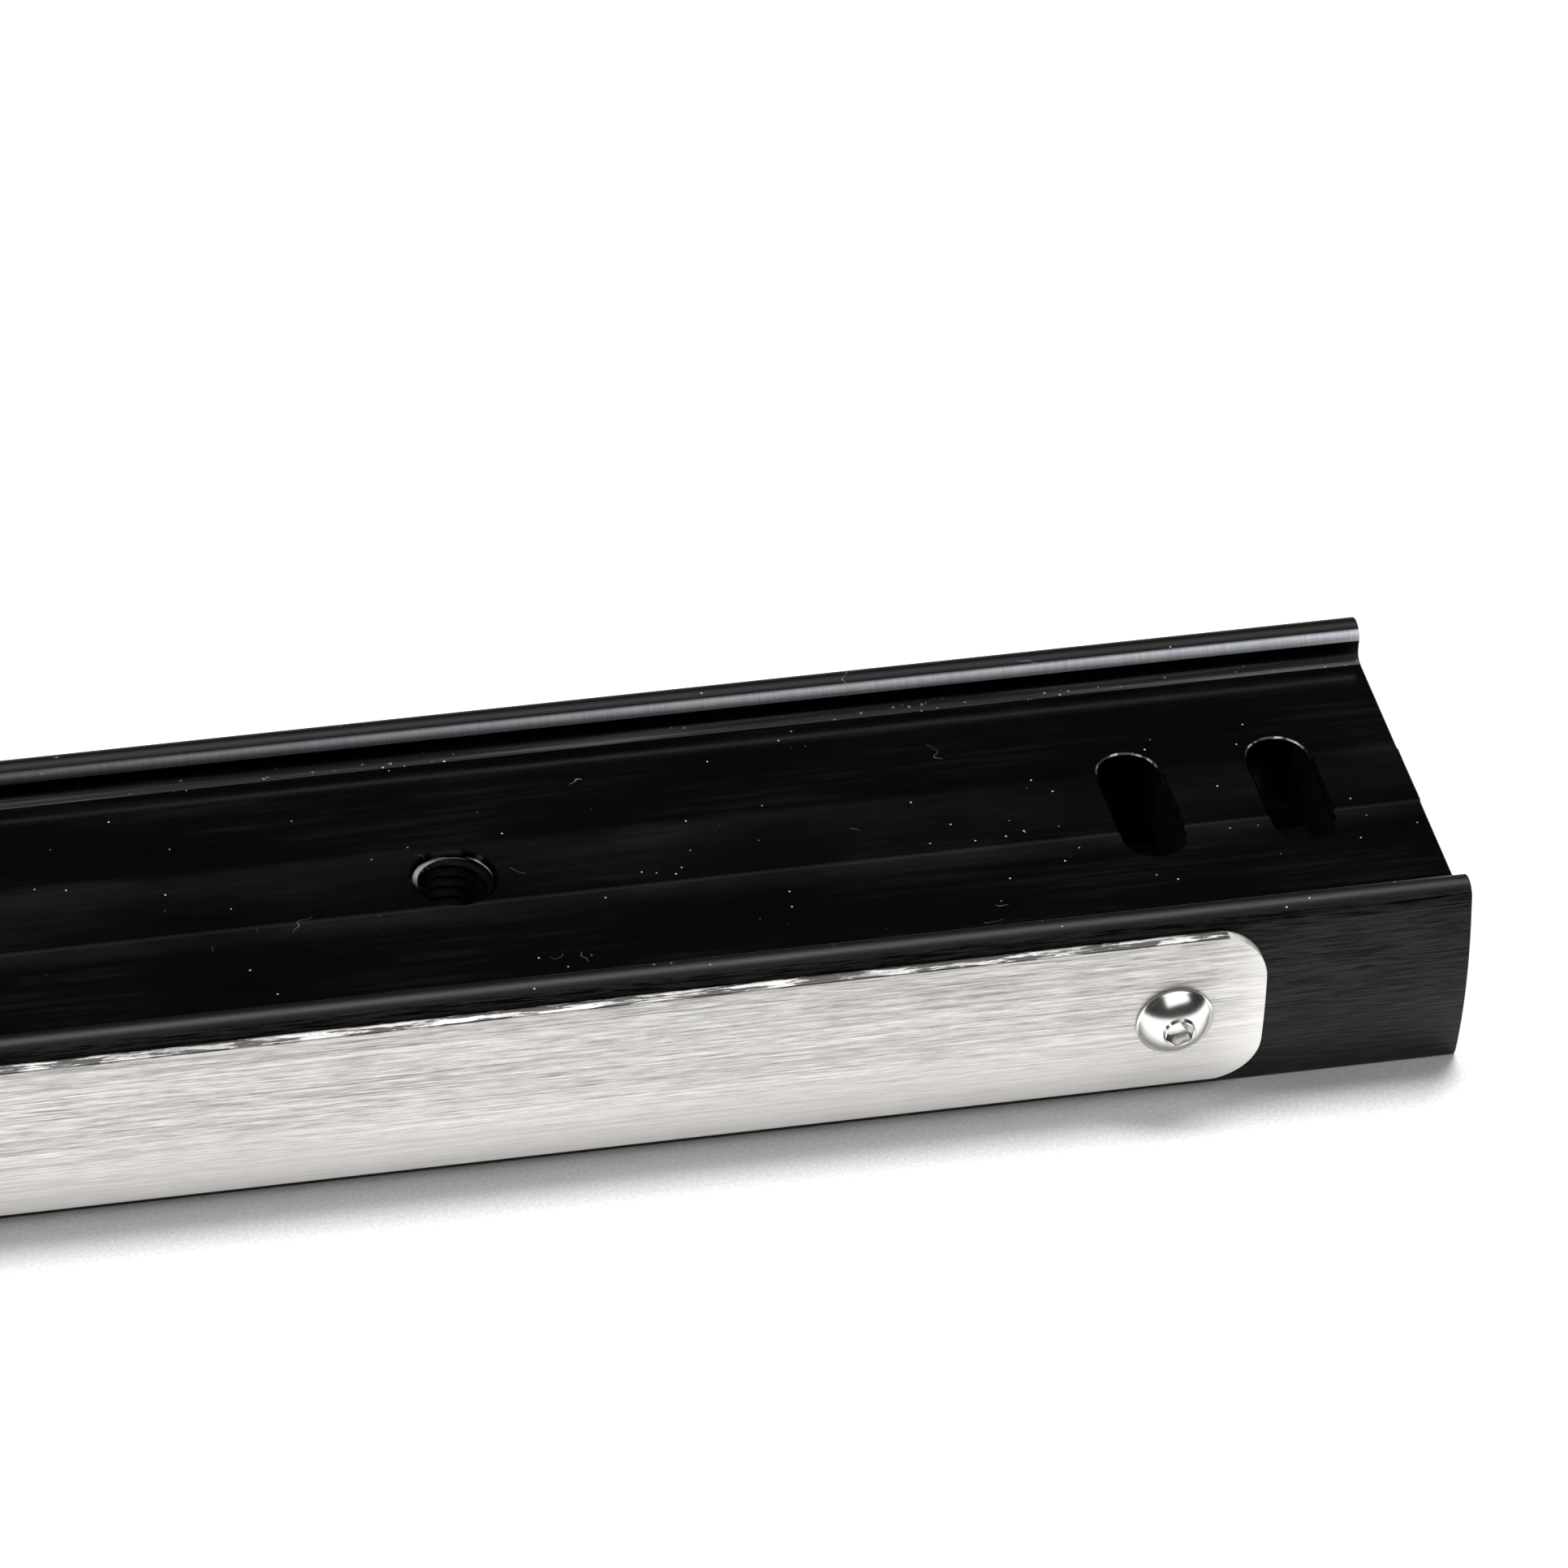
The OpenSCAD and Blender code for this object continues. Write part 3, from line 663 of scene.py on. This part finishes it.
def socket_cutter(flats, top, depth):
    """The hexagon socket and the cone at its bottom, as the metal that the punch displaces."""
    reach, broken = flats / math.sqrt(3), 0.12 * MM
    levels = [(top + 0.5 * MM, reach + broken), (top - 0.02 * MM, reach + broken / 2)]
    levels += [(top - broken, reach), (top - depth, reach)]
    levels.append((top - depth - 0.25 * reach, 0.35 * reach))
    return lofted("socket", [hexagon(radius, height) for height, radius in levels])


def button_screw(head, rise, shank, length, flats):
    """A button-head screw along Z with its seat at z = 0."""
    dome = (head**2 + rise**2) / (2 * rise)
    face, lift, steps = 1.62 * MM, 0.18 * MM, 14
    start, end = math.asin(head / dome), math.asin(face / dome)
    outline = [(0, -length), (shank - 0.5 * MM, -length), (shank, -length + 0.5 * MM), (shank, 0)]
    outline += [(head - 0.12 * MM, 0), (head, 0.12 * MM), (head, 0.28 * MM)]
    for k in range(1, steps + 1):
        turn = start + (end - start) * k / steps
        height = rise - dome + dome * math.cos(turn) + lift * (1 - k / steps)
        outline.append((dome * math.sin(turn), min(rise, height)))
    outline += [(face - 0.2 * MM, rise), (0, rise)]
    return machined(turned("button screw", outline), [socket_cutter(flats, rise, 0.62 * rise)])


def rows_tree():
    """Sets a piece at the corners of an oblong, and may turn those at the far end of it."""
    inputs = {"Piece": "Object", "Along": "Float", "Across": "Float", "Middle": "Vector"}
    inputs |= {"Far turn": "Float", "Finish": "Material"}
    tree, take, give = new_tree("piece at each corner", inputs)
    sizes = {"Size X": take["Along"], "Size Y": take["Across"], "Vertices X": 2, "Vertices Y": 2}
    grid = take["Along"].node("GeometryNodeMeshGrid", None, sizes)
    corners = grid.node("GeometryNodeMergeByDistance", None, {"Geometry": grid, "Distance": 1e-6})
    sockets = {"Geometry": corners, "Offset": take["Middle"]}
    moved = corners.node("GeometryNodeSetPosition", None, sockets)
    # The turn is read on the moved points, so a far one lies beyond the middle, not beyond 0.
    spot = grid.node("GeometryNodeInputPosition")
    spot_x, middle_x = spot.axes()[0], take["Middle"].axes()[0]
    turn = spot_x.math("GREATER_THAN", spot_x, middle_x) * take["Far turn"]
    turned_by = turn.node("ShaderNodeCombineXYZ", None, {"Z": turn})
    piece = grid.node("GeometryNodeObjectInfo", None, {"Object": take["Piece"]}, "Geometry")
    sockets = {"Points": moved, "Instance": piece, "Rotation": turned_by}
    placed = moved.node("GeometryNodeInstanceOnPoints", None, sockets)
    return ended(tree, placed, take, give)


corner_rows = rows_tree()


def set_out(name, piece, along, across, middle, finish, body, slot, nodes, far_turn=0.0, angle=32):
    """One mesh with the piece at each corner, on its body, in place of its CAD nodes."""
    values = {"Piece": piece, "Along": along, "Across": across, "Middle": middle}
    values |= {"Far turn": far_turn, "Finish": finish}
    made = smoothed(grown(name, corner_rows, values), angle)
    bpy.data.objects.remove(piece)
    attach(made, body)
    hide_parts(*nodes)


screw_finish = polished_steel()
SCREW_RISE, SCREW_LONG, SCREW_FLATS, SCREW_STOPS_AT = 2.2 * MM, 8 * MM, 2.5 * MM, math.radians(22)
for side, name in ((-1, "front"), (1, "rear")):
    screw = button_screw(SCREW_HEAD, SCREW_RISE, SCREW_SHANK, SCREW_LONG, SCREW_FLATS)
    screw.data.transform(Matrix.Rotation(SCREW_STOPS_AT, 4, "Z"))
    screw.data.transform(Matrix.Rotation(math.radians(-side * 90), 4, "X"))
    seat = (0, side * (RAIL_HALF + STRIP_THICK), RAIL_MID)
    set_out(
        name + "_button_screws", screw, 2 * strip_screw_x, 0.0, seat, screw_finish,
        "rail_assembly", "polished_stainless", [name + "_strip_screws"],
    )


# ------------------------------
# The carriage plate, the drawer's half of the slide. Aluminium plate, sawn
# and milled all over, bored for the roller axles and four M6 drawer screws,
# then anodised black.
def milled_black():
    """Fine cutter passes under matt black."""
    finish, place = new_finish("black anodised plate", IOR=1.5, Specular_IOR_Level=0.3)
    passes = place.stretched(1400, 25, 25).noise(2, 4, 0.75)
    grain = place.noise(2600, 3, 0.6)
    clouds = place.noise(55, 4, 0.6)
    base = (passes * 0.65 + clouds * 0.35).tone((0.0035, 0.0036, 0.0041), (0.0145, 0.0145, 0.0155))
    rough = 0.33 + clouds * 0.06 + passes * 0.08 + grain * 0.12
    height = (passes * 1.6 + grain * 0.5).relief(0.004 * MM)
    return apply_to(finish, Base_Color=base, Roughness=rough, Normal=height)


plate_low, plate_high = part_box("carriage_plate")
CARRIAGE_X = (plate_low.x + plate_high.x) / 2
rolls = [joint for joint in frame["joints"] if joint["name"].endswith("_roll")]
roller_axes = {joint["name"].removesuffix("_roll"): Vector(joint["pos_m"]) for joint in rolls}
ROLLER_X = abs(roller_axes["front_right"].x - CARRIAGE_X)
ROLLER_Y = abs(roller_axes["front_right"].y)
cap_screw_low, cap_screw_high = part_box("end_cap_screws")
CAP_SCREW_HEAD = 2.75 * MM
CAP_SCREW_Y = cap_screw_high.y - CAP_SCREW_HEAD
CAP_SCREW_Z = (cap_screw_low.z + cap_screw_high.z) / 2
pad_low, pad_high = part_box("front_glide_pad")


def flat_block(name, centre, shape, low, high, broken):
    """A flat block with round corners and broken edges."""
    levels = [(low, -broken), (low + broken, 0), (high - broken, 0), (high, -broken)]
    return stacked(name, centre, shape, levels, 10)


plate_shape = (plate_high.x - plate_low.x, plate_high.y - plate_low.y, 4 * MM)
plate = flat_block("milled_plate", (CARRIAGE_X, 0), plate_shape, plate_low.z, plate_high.z, 0.4 * MM)
BOLT_HEAD_RISE, AXLE_HOLE, COUNTERBORE = 5 * MM, 2.65 * MM, 4.4 * MM
DRAWER_X, DRAWER_Y, CAP_HOLE = 30 * MM, 30 * MM, 1.5 * MM
DRAWER_THREAD, DRAWER_SINK = (3 * MM, 2.6 * MM, 1 * MM), 3.4 * MM
bolt_seat, widened = plate_high.z - BOLT_HEAD_RISE, COUNTERBORE - AXLE_HOLE
bore_levels = [(plate_low.z - 1 * MM, 0), (bolt_seat, 0), (bolt_seat, widened)]
bore_levels += [(plate_high.z - 0.35 * MM, widened), (plate_high.z + 0.65 * MM, widened + 1 * MM)]
cutters = []
for sx in (-1, 1):
    ends = [CARRIAGE_X + sx * (plate_shape[0] / 2 + past) for past in (-7 * MM, 1 * MM)]
    for sy in (-1, 1):
        axle = (CARRIAGE_X + sx * ROLLER_X, sy * ROLLER_Y)
        bore_shape = (2 * AXLE_HOLE, 2 * AXLE_HOLE, AXLE_HOLE)
        cutters.append(stacked("counterbore", axle, bore_shape, bore_levels))
        hole = (CARRIAGE_X + sx * DRAWER_X, sy * DRAWER_Y)
        through = (plate_low.z, plate_high.z)
        cutters.append(tapped("drawer hole", hole, *DRAWER_THREAD, *through, DRAWER_SINK))
        middle = (sy * CAP_SCREW_Y, CAP_SCREW_Z)
        cutters.append(drilled("end hole", "X", middle, CAP_HOLE, ends))
pocket_top = plate_low.z + 1 * MM
pad_shape = (pad_high.x - pad_low.x, pad_high.y - pad_low.y, 2 * MM)
PAD_Y = (pad_low.y + pad_high.y) / 2
PAD_PEG_X = pad_shape[0] / 2 - 12 * MM
for y in (-PAD_Y, PAD_Y):
    levels = [(plate_low.z - 1 * MM, 0), (pocket_top, 0)]
    cutters.append(stacked("pocket", (CARRIAGE_X, y), pad_shape, levels))
plate = smoothed(machined(plate, cutters))
clad(plate, milled_black())
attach(plate, "carriage")
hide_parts("carriage_plate")


# ------------------------------
# The glide pads. Natural acetal, milled from bar and pressed into the plate's
# pockets by two pegs; they run over the rail's round wall tops.
def white_acetal():
    """Milky plastic with turning marks and a little grime."""
    depth = {"Subsurface_Weight": 0.12, "Subsurface_Scale": 1.5 * MM}
    finish, place = new_finish("natural acetal", IOR=1.48, **depth)
    turning = place.stretched(20, 20, 5200).noise(1, 4, 0.7)
    clouds = place.noise(150, 4, 0.55)
    grime = place.noise(420, 5, 0.65).above(0.6, 0.2)
    base = clouds.tone((0.74, 0.73, 0.68), (0.84, 0.83, 0.79))
    base = (grime * 0.16).tone(base, (0.42, 0.40, 0.36))
    rough = 0.33 + clouds * 0.12 + grime * 0.15
    return apply_to(finish, Base_Color=base, Roughness=rough, Normal=turning.relief(0.006 * MM))


acetal = white_acetal()
PEG = (4 * MM, 4 * MM, 2 * MM)
PEG_LOW, PEG_HIGH = pocket_top - 0.01 * MM, pocket_top + 3 * MM
for name, y in (("front", PAD_Y), ("rear", -PAD_Y)):
    pad = flat_block(name + "_pad", (CARRIAGE_X, y), pad_shape, pad_low.z, pocket_top, 0.3 * MM)
    spots = [(CARRIAGE_X + s * PAD_PEG_X, y) for s in (-1, 1)]
    pegs = [flat_block("peg", spot, PEG, PEG_LOW, PEG_HIGH, 0.3 * MM) for spot in spots]
    pad = smoothed(joined(name + "_pad_with_pegs", [pad] + pegs))
    clad(pad, acetal)
    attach(pad, "carriage")
    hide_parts(name + "_glide_pad")


# ------------------------------
# The end caps, wipers and buffers. Caps moulded in black nylon with a fine
# spark texture; wipers punched and buffers moulded in black rubber. The
# buffers' pegs hold the wipers against the caps.
def moulded_nylon():
    """Black plastic with a fine spark-eroded texture."""
    finish, place = new_finish("moulded black nylon", IOR=1.53, Specular_IOR_Level=0.35)
    spark = place.noise(1900, 3, 0.6)
    clouds = place.noise(70, 4, 0.6)
    base = (clouds * 0.7 + spark * 0.3).tone((0.008, 0.008, 0.0085), (0.021, 0.021, 0.022))
    rough = 0.42 + clouds * 0.14 + spark * 0.08
    return apply_to(finish, Base_Color=base, Roughness=rough, Normal=spark.relief(0.025 * MM))


def black_rubber():
    """Matt black with a grey bloom and small pores."""
    finish, place = new_finish("black rubber", IOR=1.45)
    bloom = place.noise(240, 5, 0.6)
    pores = place.noise(3200, 2, 0.5)
    base = bloom.above(0.5, 0.5).tone((0.007, 0.007, 0.007), (0.030, 0.030, 0.029))
    rough = 0.62 + bloom * 0.22
    return apply_to(finish, Base_Color=base, Roughness=rough, Normal=pores.relief(0.012 * MM))


def softened(node, name, radius, finish, body, steps=3):
    """A CAD node's shape with its edges rounded, in place of the node."""
    mesh = frame["nodes"][node].data.copy()
    mesh.materials.clear()
    work = bmesh.new()
    work.from_mesh(mesh)
    bmesh.ops.remove_doubles(work, verts=work.verts, dist=2e-6)
    bmesh.ops.dissolve_limit(work, angle_limit=math.radians(0.6), verts=work.verts, edges=work.edges)
    work.to_mesh(mesh)
    work.free()
    piece = in_scene(name, mesh)
    rounding = piece.modifiers.new("rounding", "BEVEL")
    rounding.width, rounding.segments, rounding.limit_method = radius, steps, "ANGLE"
    rounding.angle_limit, rounding.use_clamp_overlap = math.radians(40), True
    smoothed(settled(piece), 40)
    clad(piece, finish)
    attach(piece, body)
    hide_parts(node)


nylon, rubber = moulded_nylon(), black_rubber()
for end in ("left", "right"):
    softened(end + "_end_cap", end + "_cap", 0.5 * MM, nylon, "carriage")
    softened(end + "_wiper", end + "_wiper_lip", 0.2 * MM, rubber, "carriage", 2)
    softened(end + "_buffers", end + "_bumpers", 0.6 * MM, rubber, "carriage", 4)


# ------------------------------
# The end cap screws. Stainless M3 cap screws with knurled heads, two through
# each cap into the plate's end.
def cap_screw(head, rise, shank, length, flats, ridges):
    """A socket cap screw along Z with its seat at z = 0 and a knurled head."""
    edge = 0.1 * head
    outline = [(0, -length), (shank - 0.4 * MM, -length), (shank, -length + 0.4 * MM), (shank, 0)]
    outline += [(head - edge, 0), (head, edge), (head, rise / 2), (head, rise - 2 * edge)]
    outline += [(head - 0.5 * edge, rise - 0.6 * edge), (head - 1.6 * edge, rise), (0, rise)]
    knurl = (ridges, 0.1 * MM, edge * 0.9, rise - 1.9 * edge)
    return machined(turned("cap screw", outline, ridges * 4, knurl), [socket_cutter(flats, rise, rise / 2)])


CAP_SCREW_RISE = 3 * MM
screw = cap_screw(CAP_SCREW_HEAD, CAP_SCREW_RISE, 1.5 * MM, 14 * MM, 2.5 * MM, 24)
screw.data.transform(Matrix.Rotation(math.radians(-90), 4, "Y"))
between_seats = cap_screw_high.x - cap_screw_low.x - 2 * CAP_SCREW_RISE
set_out(
    "cap_screws", screw, between_seats, 2 * CAP_SCREW_Y, (CARRIAGE_X, 0, CAP_SCREW_Z), screw_finish,
    "carriage", "polished_stainless", ["end_cap_screws"], far_turn=math.pi,
)


# ------------------------------
# The roller axles: M5 cap screws sunk in the plate, each with a collar above
# its roller and a washer and nut below. The screws and nuts are stainless,
# the collars and washers ground steel.
def ground_steel():
    """Grey steel with fine rings round the axis."""
    finish, place = new_finish("ground bearing steel", Metallic=1.0, IOR=2.6)
    turning = place.stretched(40, 40, 6000).noise(1, 3, 0.6)
    haze = place.noise(700, 4, 0.6)
    base = haze.tone((0.5, 0.5, 0.51), (0.68, 0.68, 0.69))
    rough = 0.16 + haze * 0.16 + turning * 0.06
    return apply_to(finish, Base_Color=base, Roughness=rough, Normal=turning.relief(0.003 * MM))


def on_axles(name, piece, height, finish, slot, node, angle=32):
    """One mesh with the piece on each of the four axles, its seat at this height."""
    spread, middle = (2 * ROLLER_X, 2 * ROLLER_Y), (CARRIAGE_X, 0, height)
    set_out(name, piece, *spread, middle, finish, "carriage", slot, [node], angle=angle)


steel = ground_steel()
AXLE_RADIUS = 2.5 * MM
bolt_low, bolt_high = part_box("roller_bolts")
seat = bolt_high.z - BOLT_HEAD_RISE
bolt = cap_screw(4.25 * MM, BOLT_HEAD_RISE, AXLE_RADIUS, seat - bolt_low.z, 4 * MM, 30)
on_axles("axle_bolts", bolt, seat, screw_finish, "polished_stainless", "roller_bolts")


def ring_outline(inner, outer, low, high, broken):
    """The section of a plain ring with its edges broken."""
    under = [(inner, low + broken), (inner + broken, low), (outer - broken, low), (outer, low + broken)]
    return under + [(radius, low + high - z) for radius, z in reversed(under)]


def hexagon_nut(flats, bore, rise):
    """A nut with its corners turned off at 30 degrees above and below."""
    reach, face, slope = flats / math.sqrt(3), 0.95 * flats / 2, 0.577
    body = lofted("nut", [hexagon(reach, z) for z in (0, rise)])
    low = [(0, -0.5 * MM), (face - 0.8 * MM, -0.5 * MM), (face, 0)]
    low.append((reach + 0.1 * MM, (reach - face) * slope))
    high = [(radius, rise - z) for radius, z in reversed(low)]
    turned_off = turned("turned off", low + high, 96)
    shape = body.modifiers.new("shape", "BOOLEAN")
    shape.operation, shape.solver, shape.object = "INTERSECT", "EXACT", turned_off
    settled(body)
    bpy.data.objects.remove(turned_off)
    return machined(body, [bored("bore", (0, 0), (2 * bore, 2 * bore, bore), 0, rise, 0.25 * MM)])


nut_low, nut_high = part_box("roller_nuts")
nut = hexagon_nut(8 * MM, AXLE_RADIUS + 0.01 * MM, nut_high.z - nut_low.z)
on_axles("axle_nuts", nut, nut_low.z, screw_finish, "polished_stainless", "roller_nuts", 20)
for name, node in (("axle_washers", "roller_washers"), ("axle_collars", "roller_collars")):
    low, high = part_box(node)
    ring = turned(name, ring_outline(AXLE_RADIUS, 3.6 * MM, 0, high.z - low.z, 0.1 * MM))
    on_axles(name, ring, low.z, steel, "bearing_steel", node, 25)


# ------------------------------
# The ball bearings, two 5 x 11 x 4 mm in each roller. The inner rings and the
# spacer between them are clamped on the axle; the outer rings, with their
# shields, and the balls turn with the roller.
BEARING_WIDE, BALL_CIRCLE, BALL_RADIUS = 4 * MM, 4.05 * MM, 0.8 * MM
ROLLER_RISE = 12.8 * MM
WHEEL_LOW = roller_axes["front_left"].z - ROLLER_RISE / 2
bearing_lows = (WHEEL_LOW, WHEEL_LOW + ROLLER_RISE - BEARING_WIDE)


def race(reach, side):
    """The groove that the balls run in, as points up one ring's face."""
    middle, room = BEARING_WIDE / 2, BALL_RADIUS + 0.05 * MM
    across = reach - BALL_CIRCLE
    half = math.acos(min(1, abs(across) / room))
    turns = [half - 2 * half * k / 8 for k in range(9)]
    return [(BALL_CIRCLE + side * room * math.cos(t), middle - room * math.sin(t)) for t in turns]


def at_both_ends(name, outline, x=0, y=0, steps=64):
    """A turned ring at each end of a roller, as one mesh."""
    rings = []
    for low in bearing_lows:
        ring = turned("ring", outline, steps)
        ring.data.transform(Matrix.Translation((x, y, low)))
        rings.append(ring)
    return joined(name, rings)


INNER_RING = 3.5 * MM
plain = ring_outline(AXLE_RADIUS, INNER_RING, 0, BEARING_WIDE, 0.12 * MM)
inner = at_both_ends("inner rings", plain[:4] + race(INNER_RING, -1) + plain[4:])
on_axles("inner_races", inner, 0, steel, "bearing_steel", "bearing_inner_rings")
spacer_low = bearing_lows[0] + BEARING_WIDE
spacer = turned("spacer", ring_outline(AXLE_RADIUS, INNER_RING, spacer_low, bearing_lows[1], 0.1 * MM))
on_axles("race_spacers", spacer, 0, steel, "bearing_steel", "bearing_spacers")


def outer_ring_outline():
    """The outer ring's section with its two shields, out from the lower one and back by the race."""
    shield_in, inside, outside = 3.7 * MM, 4.6 * MM, 5.5 * MM
    shield_thick, broken = 0.25 * MM, 0.14 * MM
    low = [(inside, shield_thick), (shield_in, shield_thick), (shield_in, 0)]
    low += [(outside - broken, 0), (outside, broken)]
    high = [(radius, BEARING_WIDE - z) for radius, z in reversed(low)]
    return low + high + list(reversed(race(inside, 1)))


def balls_tree():
    """Rings of balls, one for each bearing of a roller."""
    inputs = {"Ball radius": "Float", "Circle": "Float", "Balls": "Int", "Lowest": "Vector"}
    tree, take, give = new_tree("balls of a roller", inputs | {"Rise": "Vector", "Finish": "Material"})
    sockets = {"Vertices": take["Balls"], "Radius": take["Circle"]}
    circle = take["Circle"].node("GeometryNodeMeshCircle", None, sockets)
    sockets = {"Radius": take["Ball radius"], "Subdivisions": 3}
    ball = circle.node("GeometryNodeMeshIcoSphere", None, sockets)
    sockets = {"Points": circle, "Instance": ball}
    ring = circle.node("GeometryNodeInstanceOnPoints", None, sockets)
    sockets = {"Count": 2, "Start Location": take["Lowest"], "Offset": take["Rise"]}
    levels = ring.node("GeometryNodeMeshLine", None, sockets)
    sockets = {"Points": levels, "Instance": ring}
    both = levels.node("GeometryNodeInstanceOnPoints", None, sockets)
    return ended(tree, both, take, give)


ball_rings = balls_tree()
for name, axis in roller_axes.items():
    outer = at_both_ends(name + "_outer_races", outer_ring_outline(), axis.x, axis.y, 72)
    smoothed(outer, 25)
    clad(outer, steel)
    lowest = (axis.x, axis.y, bearing_lows[0] + BEARING_WIDE / 2)
    values = {"Ball radius": BALL_RADIUS, "Circle": BALL_CIRCLE, "Balls": 8, "Lowest": lowest}
    values |= {"Rise": (0, 0, bearing_lows[1] - bearing_lows[0]), "Finish": steel}
    balls = smoothed(grown(name + "_bearing_balls", ball_rings, values), 60)
    for piece, node in ((outer, "outer_rings"), (balls, "balls")):
        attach(piece, name + "_wheel")
        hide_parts(name + "_" + node)


# ------------------------------
# The rollers. Natural acetal, turned to an hourglass that follows the strip's
# crown, with a bearing pressed into each end.
ROLLER_WAIST = 8 * MM
WAIST_RADIUS = SIDE_RADIUS + STRIP_THICK + 0.25 * MM


def roller_outline():
    """The roller's section: its lip and lower bearing seat, its waist, and the same above."""
    lip, seat, edge, round_over = 4.9 * MM, 5.5 * MM, 0.25 * MM, 0.4 * MM
    waist = []
    for k in range(25):
        z = round_over + (ROLLER_RISE - 2 * round_over) * k / 24
        fall = math.sqrt(WAIST_RADIUS**2 - (z - ROLLER_RISE / 2) ** 2)
        waist.append((ROLLER_WAIST + WAIST_RADIUS - fall, z))
    rim = waist[0][0]
    low = [(lip, BEARING_WIDE), (seat, BEARING_WIDE), (seat, edge), (seat + edge, 0)]
    low += [(rim - round_over, 0), (rim - 0.29 * round_over, 0.29 * round_over)]
    return low + waist + [(radius, ROLLER_RISE - z) for radius, z in reversed(low)]


for name, axis in roller_axes.items():
    roller = turned(name + "_hourglass_roller", roller_outline(), 96)
    roller.data.transform(Matrix.Translation((axis.x, axis.y, WHEEL_LOW)))
    smoothed(roller, 25)
    clad(roller, acetal)
    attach(roller, name + "_wheel")
    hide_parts(name + "_roller")


# ------------------------------
# The studio: a pale table, a large soft light overhead and behind, softer
# ones in front and at the left, and a long lens on the rail's right end.
def table_top():
    """A pale speckled surface, with a painted shade where the rail covers it."""
    finish, place = new_finish("pale table", Specular_IOR_Level=0.2)
    x, y = place.axes()[:2]
    speckle = place.noise(2600, 4, 0.75)
    base = speckle.above(0.5, 0.5).tone((0.68, 0.68, 0.68), (0.95, 0.95, 0.95))
    # Painted shade: the table darkened under the rail's footprint.
    clear_of_painted_shade_y = abs(y).above(FOOT_IN + 3 * MM, 3 * MM)
    clear_of_painted_shade_x = abs(x).above(RAIL_LENGTH / 2 - 2 * MM, 4 * MM)
    base = ((1 - clear_of_painted_shade_y) * (1 - clear_of_painted_shade_x)).tone(base, (0.05, 0.05, 0.05))
    rough = 0.75 + speckle * 0.1
    return apply_to(finish, Base_Color=base, Roughness=rough, Normal=speckle.relief(0.05 * MM))


TABLE_HALF, TABLE_TOP = 7.0, -0.01 * MM
corners = [(x * TABLE_HALF, y * TABLE_HALF, TABLE_TOP) for x, y in ((-1, -1), (1, -1), (1, 1), (-1, 1))]
table = new_piece("table", corners, [(0, 1, 2, 3)])
clad(table, table_top())


def soft_light(name, place, aim, size, power):
    """An area light that isn't seen itself."""
    lamp = bpy.data.lights.new(name, "AREA")
    lamp.shape, lamp.size, lamp.size_y, lamp.energy = "RECTANGLE", size[0], size[1], power
    light = in_scene(name, lamp)
    light.location = place
    light.rotation_euler = (Vector(aim) - Vector(place)).to_track_quat("-Z", "Y").to_euler()
    light.visible_camera = False


SUBJECT = (0.15, 0.0, 0.0)
soft_light("overhead", (0.25, 0.6, 1.9), SUBJECT, (1.5, 0.9), 80)
soft_light("front", (0.5, -1.1, 1.45), SUBJECT, (2.0, 1.1), 11)
soft_light("left", (-1.6, -0.3, 1.2), SUBJECT, (0.6, 0.6), 4)

world = bpy.data.worlds.new("studio")
world.use_nodes = True
background = world.node_tree.nodes["Background"].inputs
background["Color"].default_value = (1, 1, 1, 1)
background["Strength"].default_value = 0.03
bpy.context.scene.world = world
bpy.context.scene.view_settings.view_transform = "Standard"

AZIMUTH, ELEVATION, ROLL = 0.27847, 0.66784, 0.067686
LENS_LENGTH = 326.8286
CORNER_RIGHT, CORNER_DOWN, CORNER_DEPTH = 65.138 * MM, 26.983 * MM, 1374.712 * MM
forward = Vector((math.sin(AZIMUTH), math.cos(AZIMUTH), -math.tan(ELEVATION))).normalized()
level = Vector((math.cos(AZIMUTH), -math.sin(AZIMUTH), 0))
upward = level.cross(forward)
right = level * math.cos(ROLL) + upward * math.sin(ROLL)
up = upward * math.cos(ROLL) - level * math.sin(ROLL)
corner = Vector((rail_high.x, -RAIL_HALF, 0))
lens = bpy.data.cameras.new("camera")
lens.sensor_width, lens.clip_start, lens.clip_end = 36, 0.05, 50
lens.lens = LENS_LENGTH
camera = in_scene("camera", lens)
place = corner - right * CORNER_RIGHT + up * CORNER_DOWN - forward * CORNER_DEPTH
camera.matrix_world = Matrix.Translation(place) @ Matrix((right, up, -forward)).transposed().to_4x4()
bpy.context.scene.camera = camera
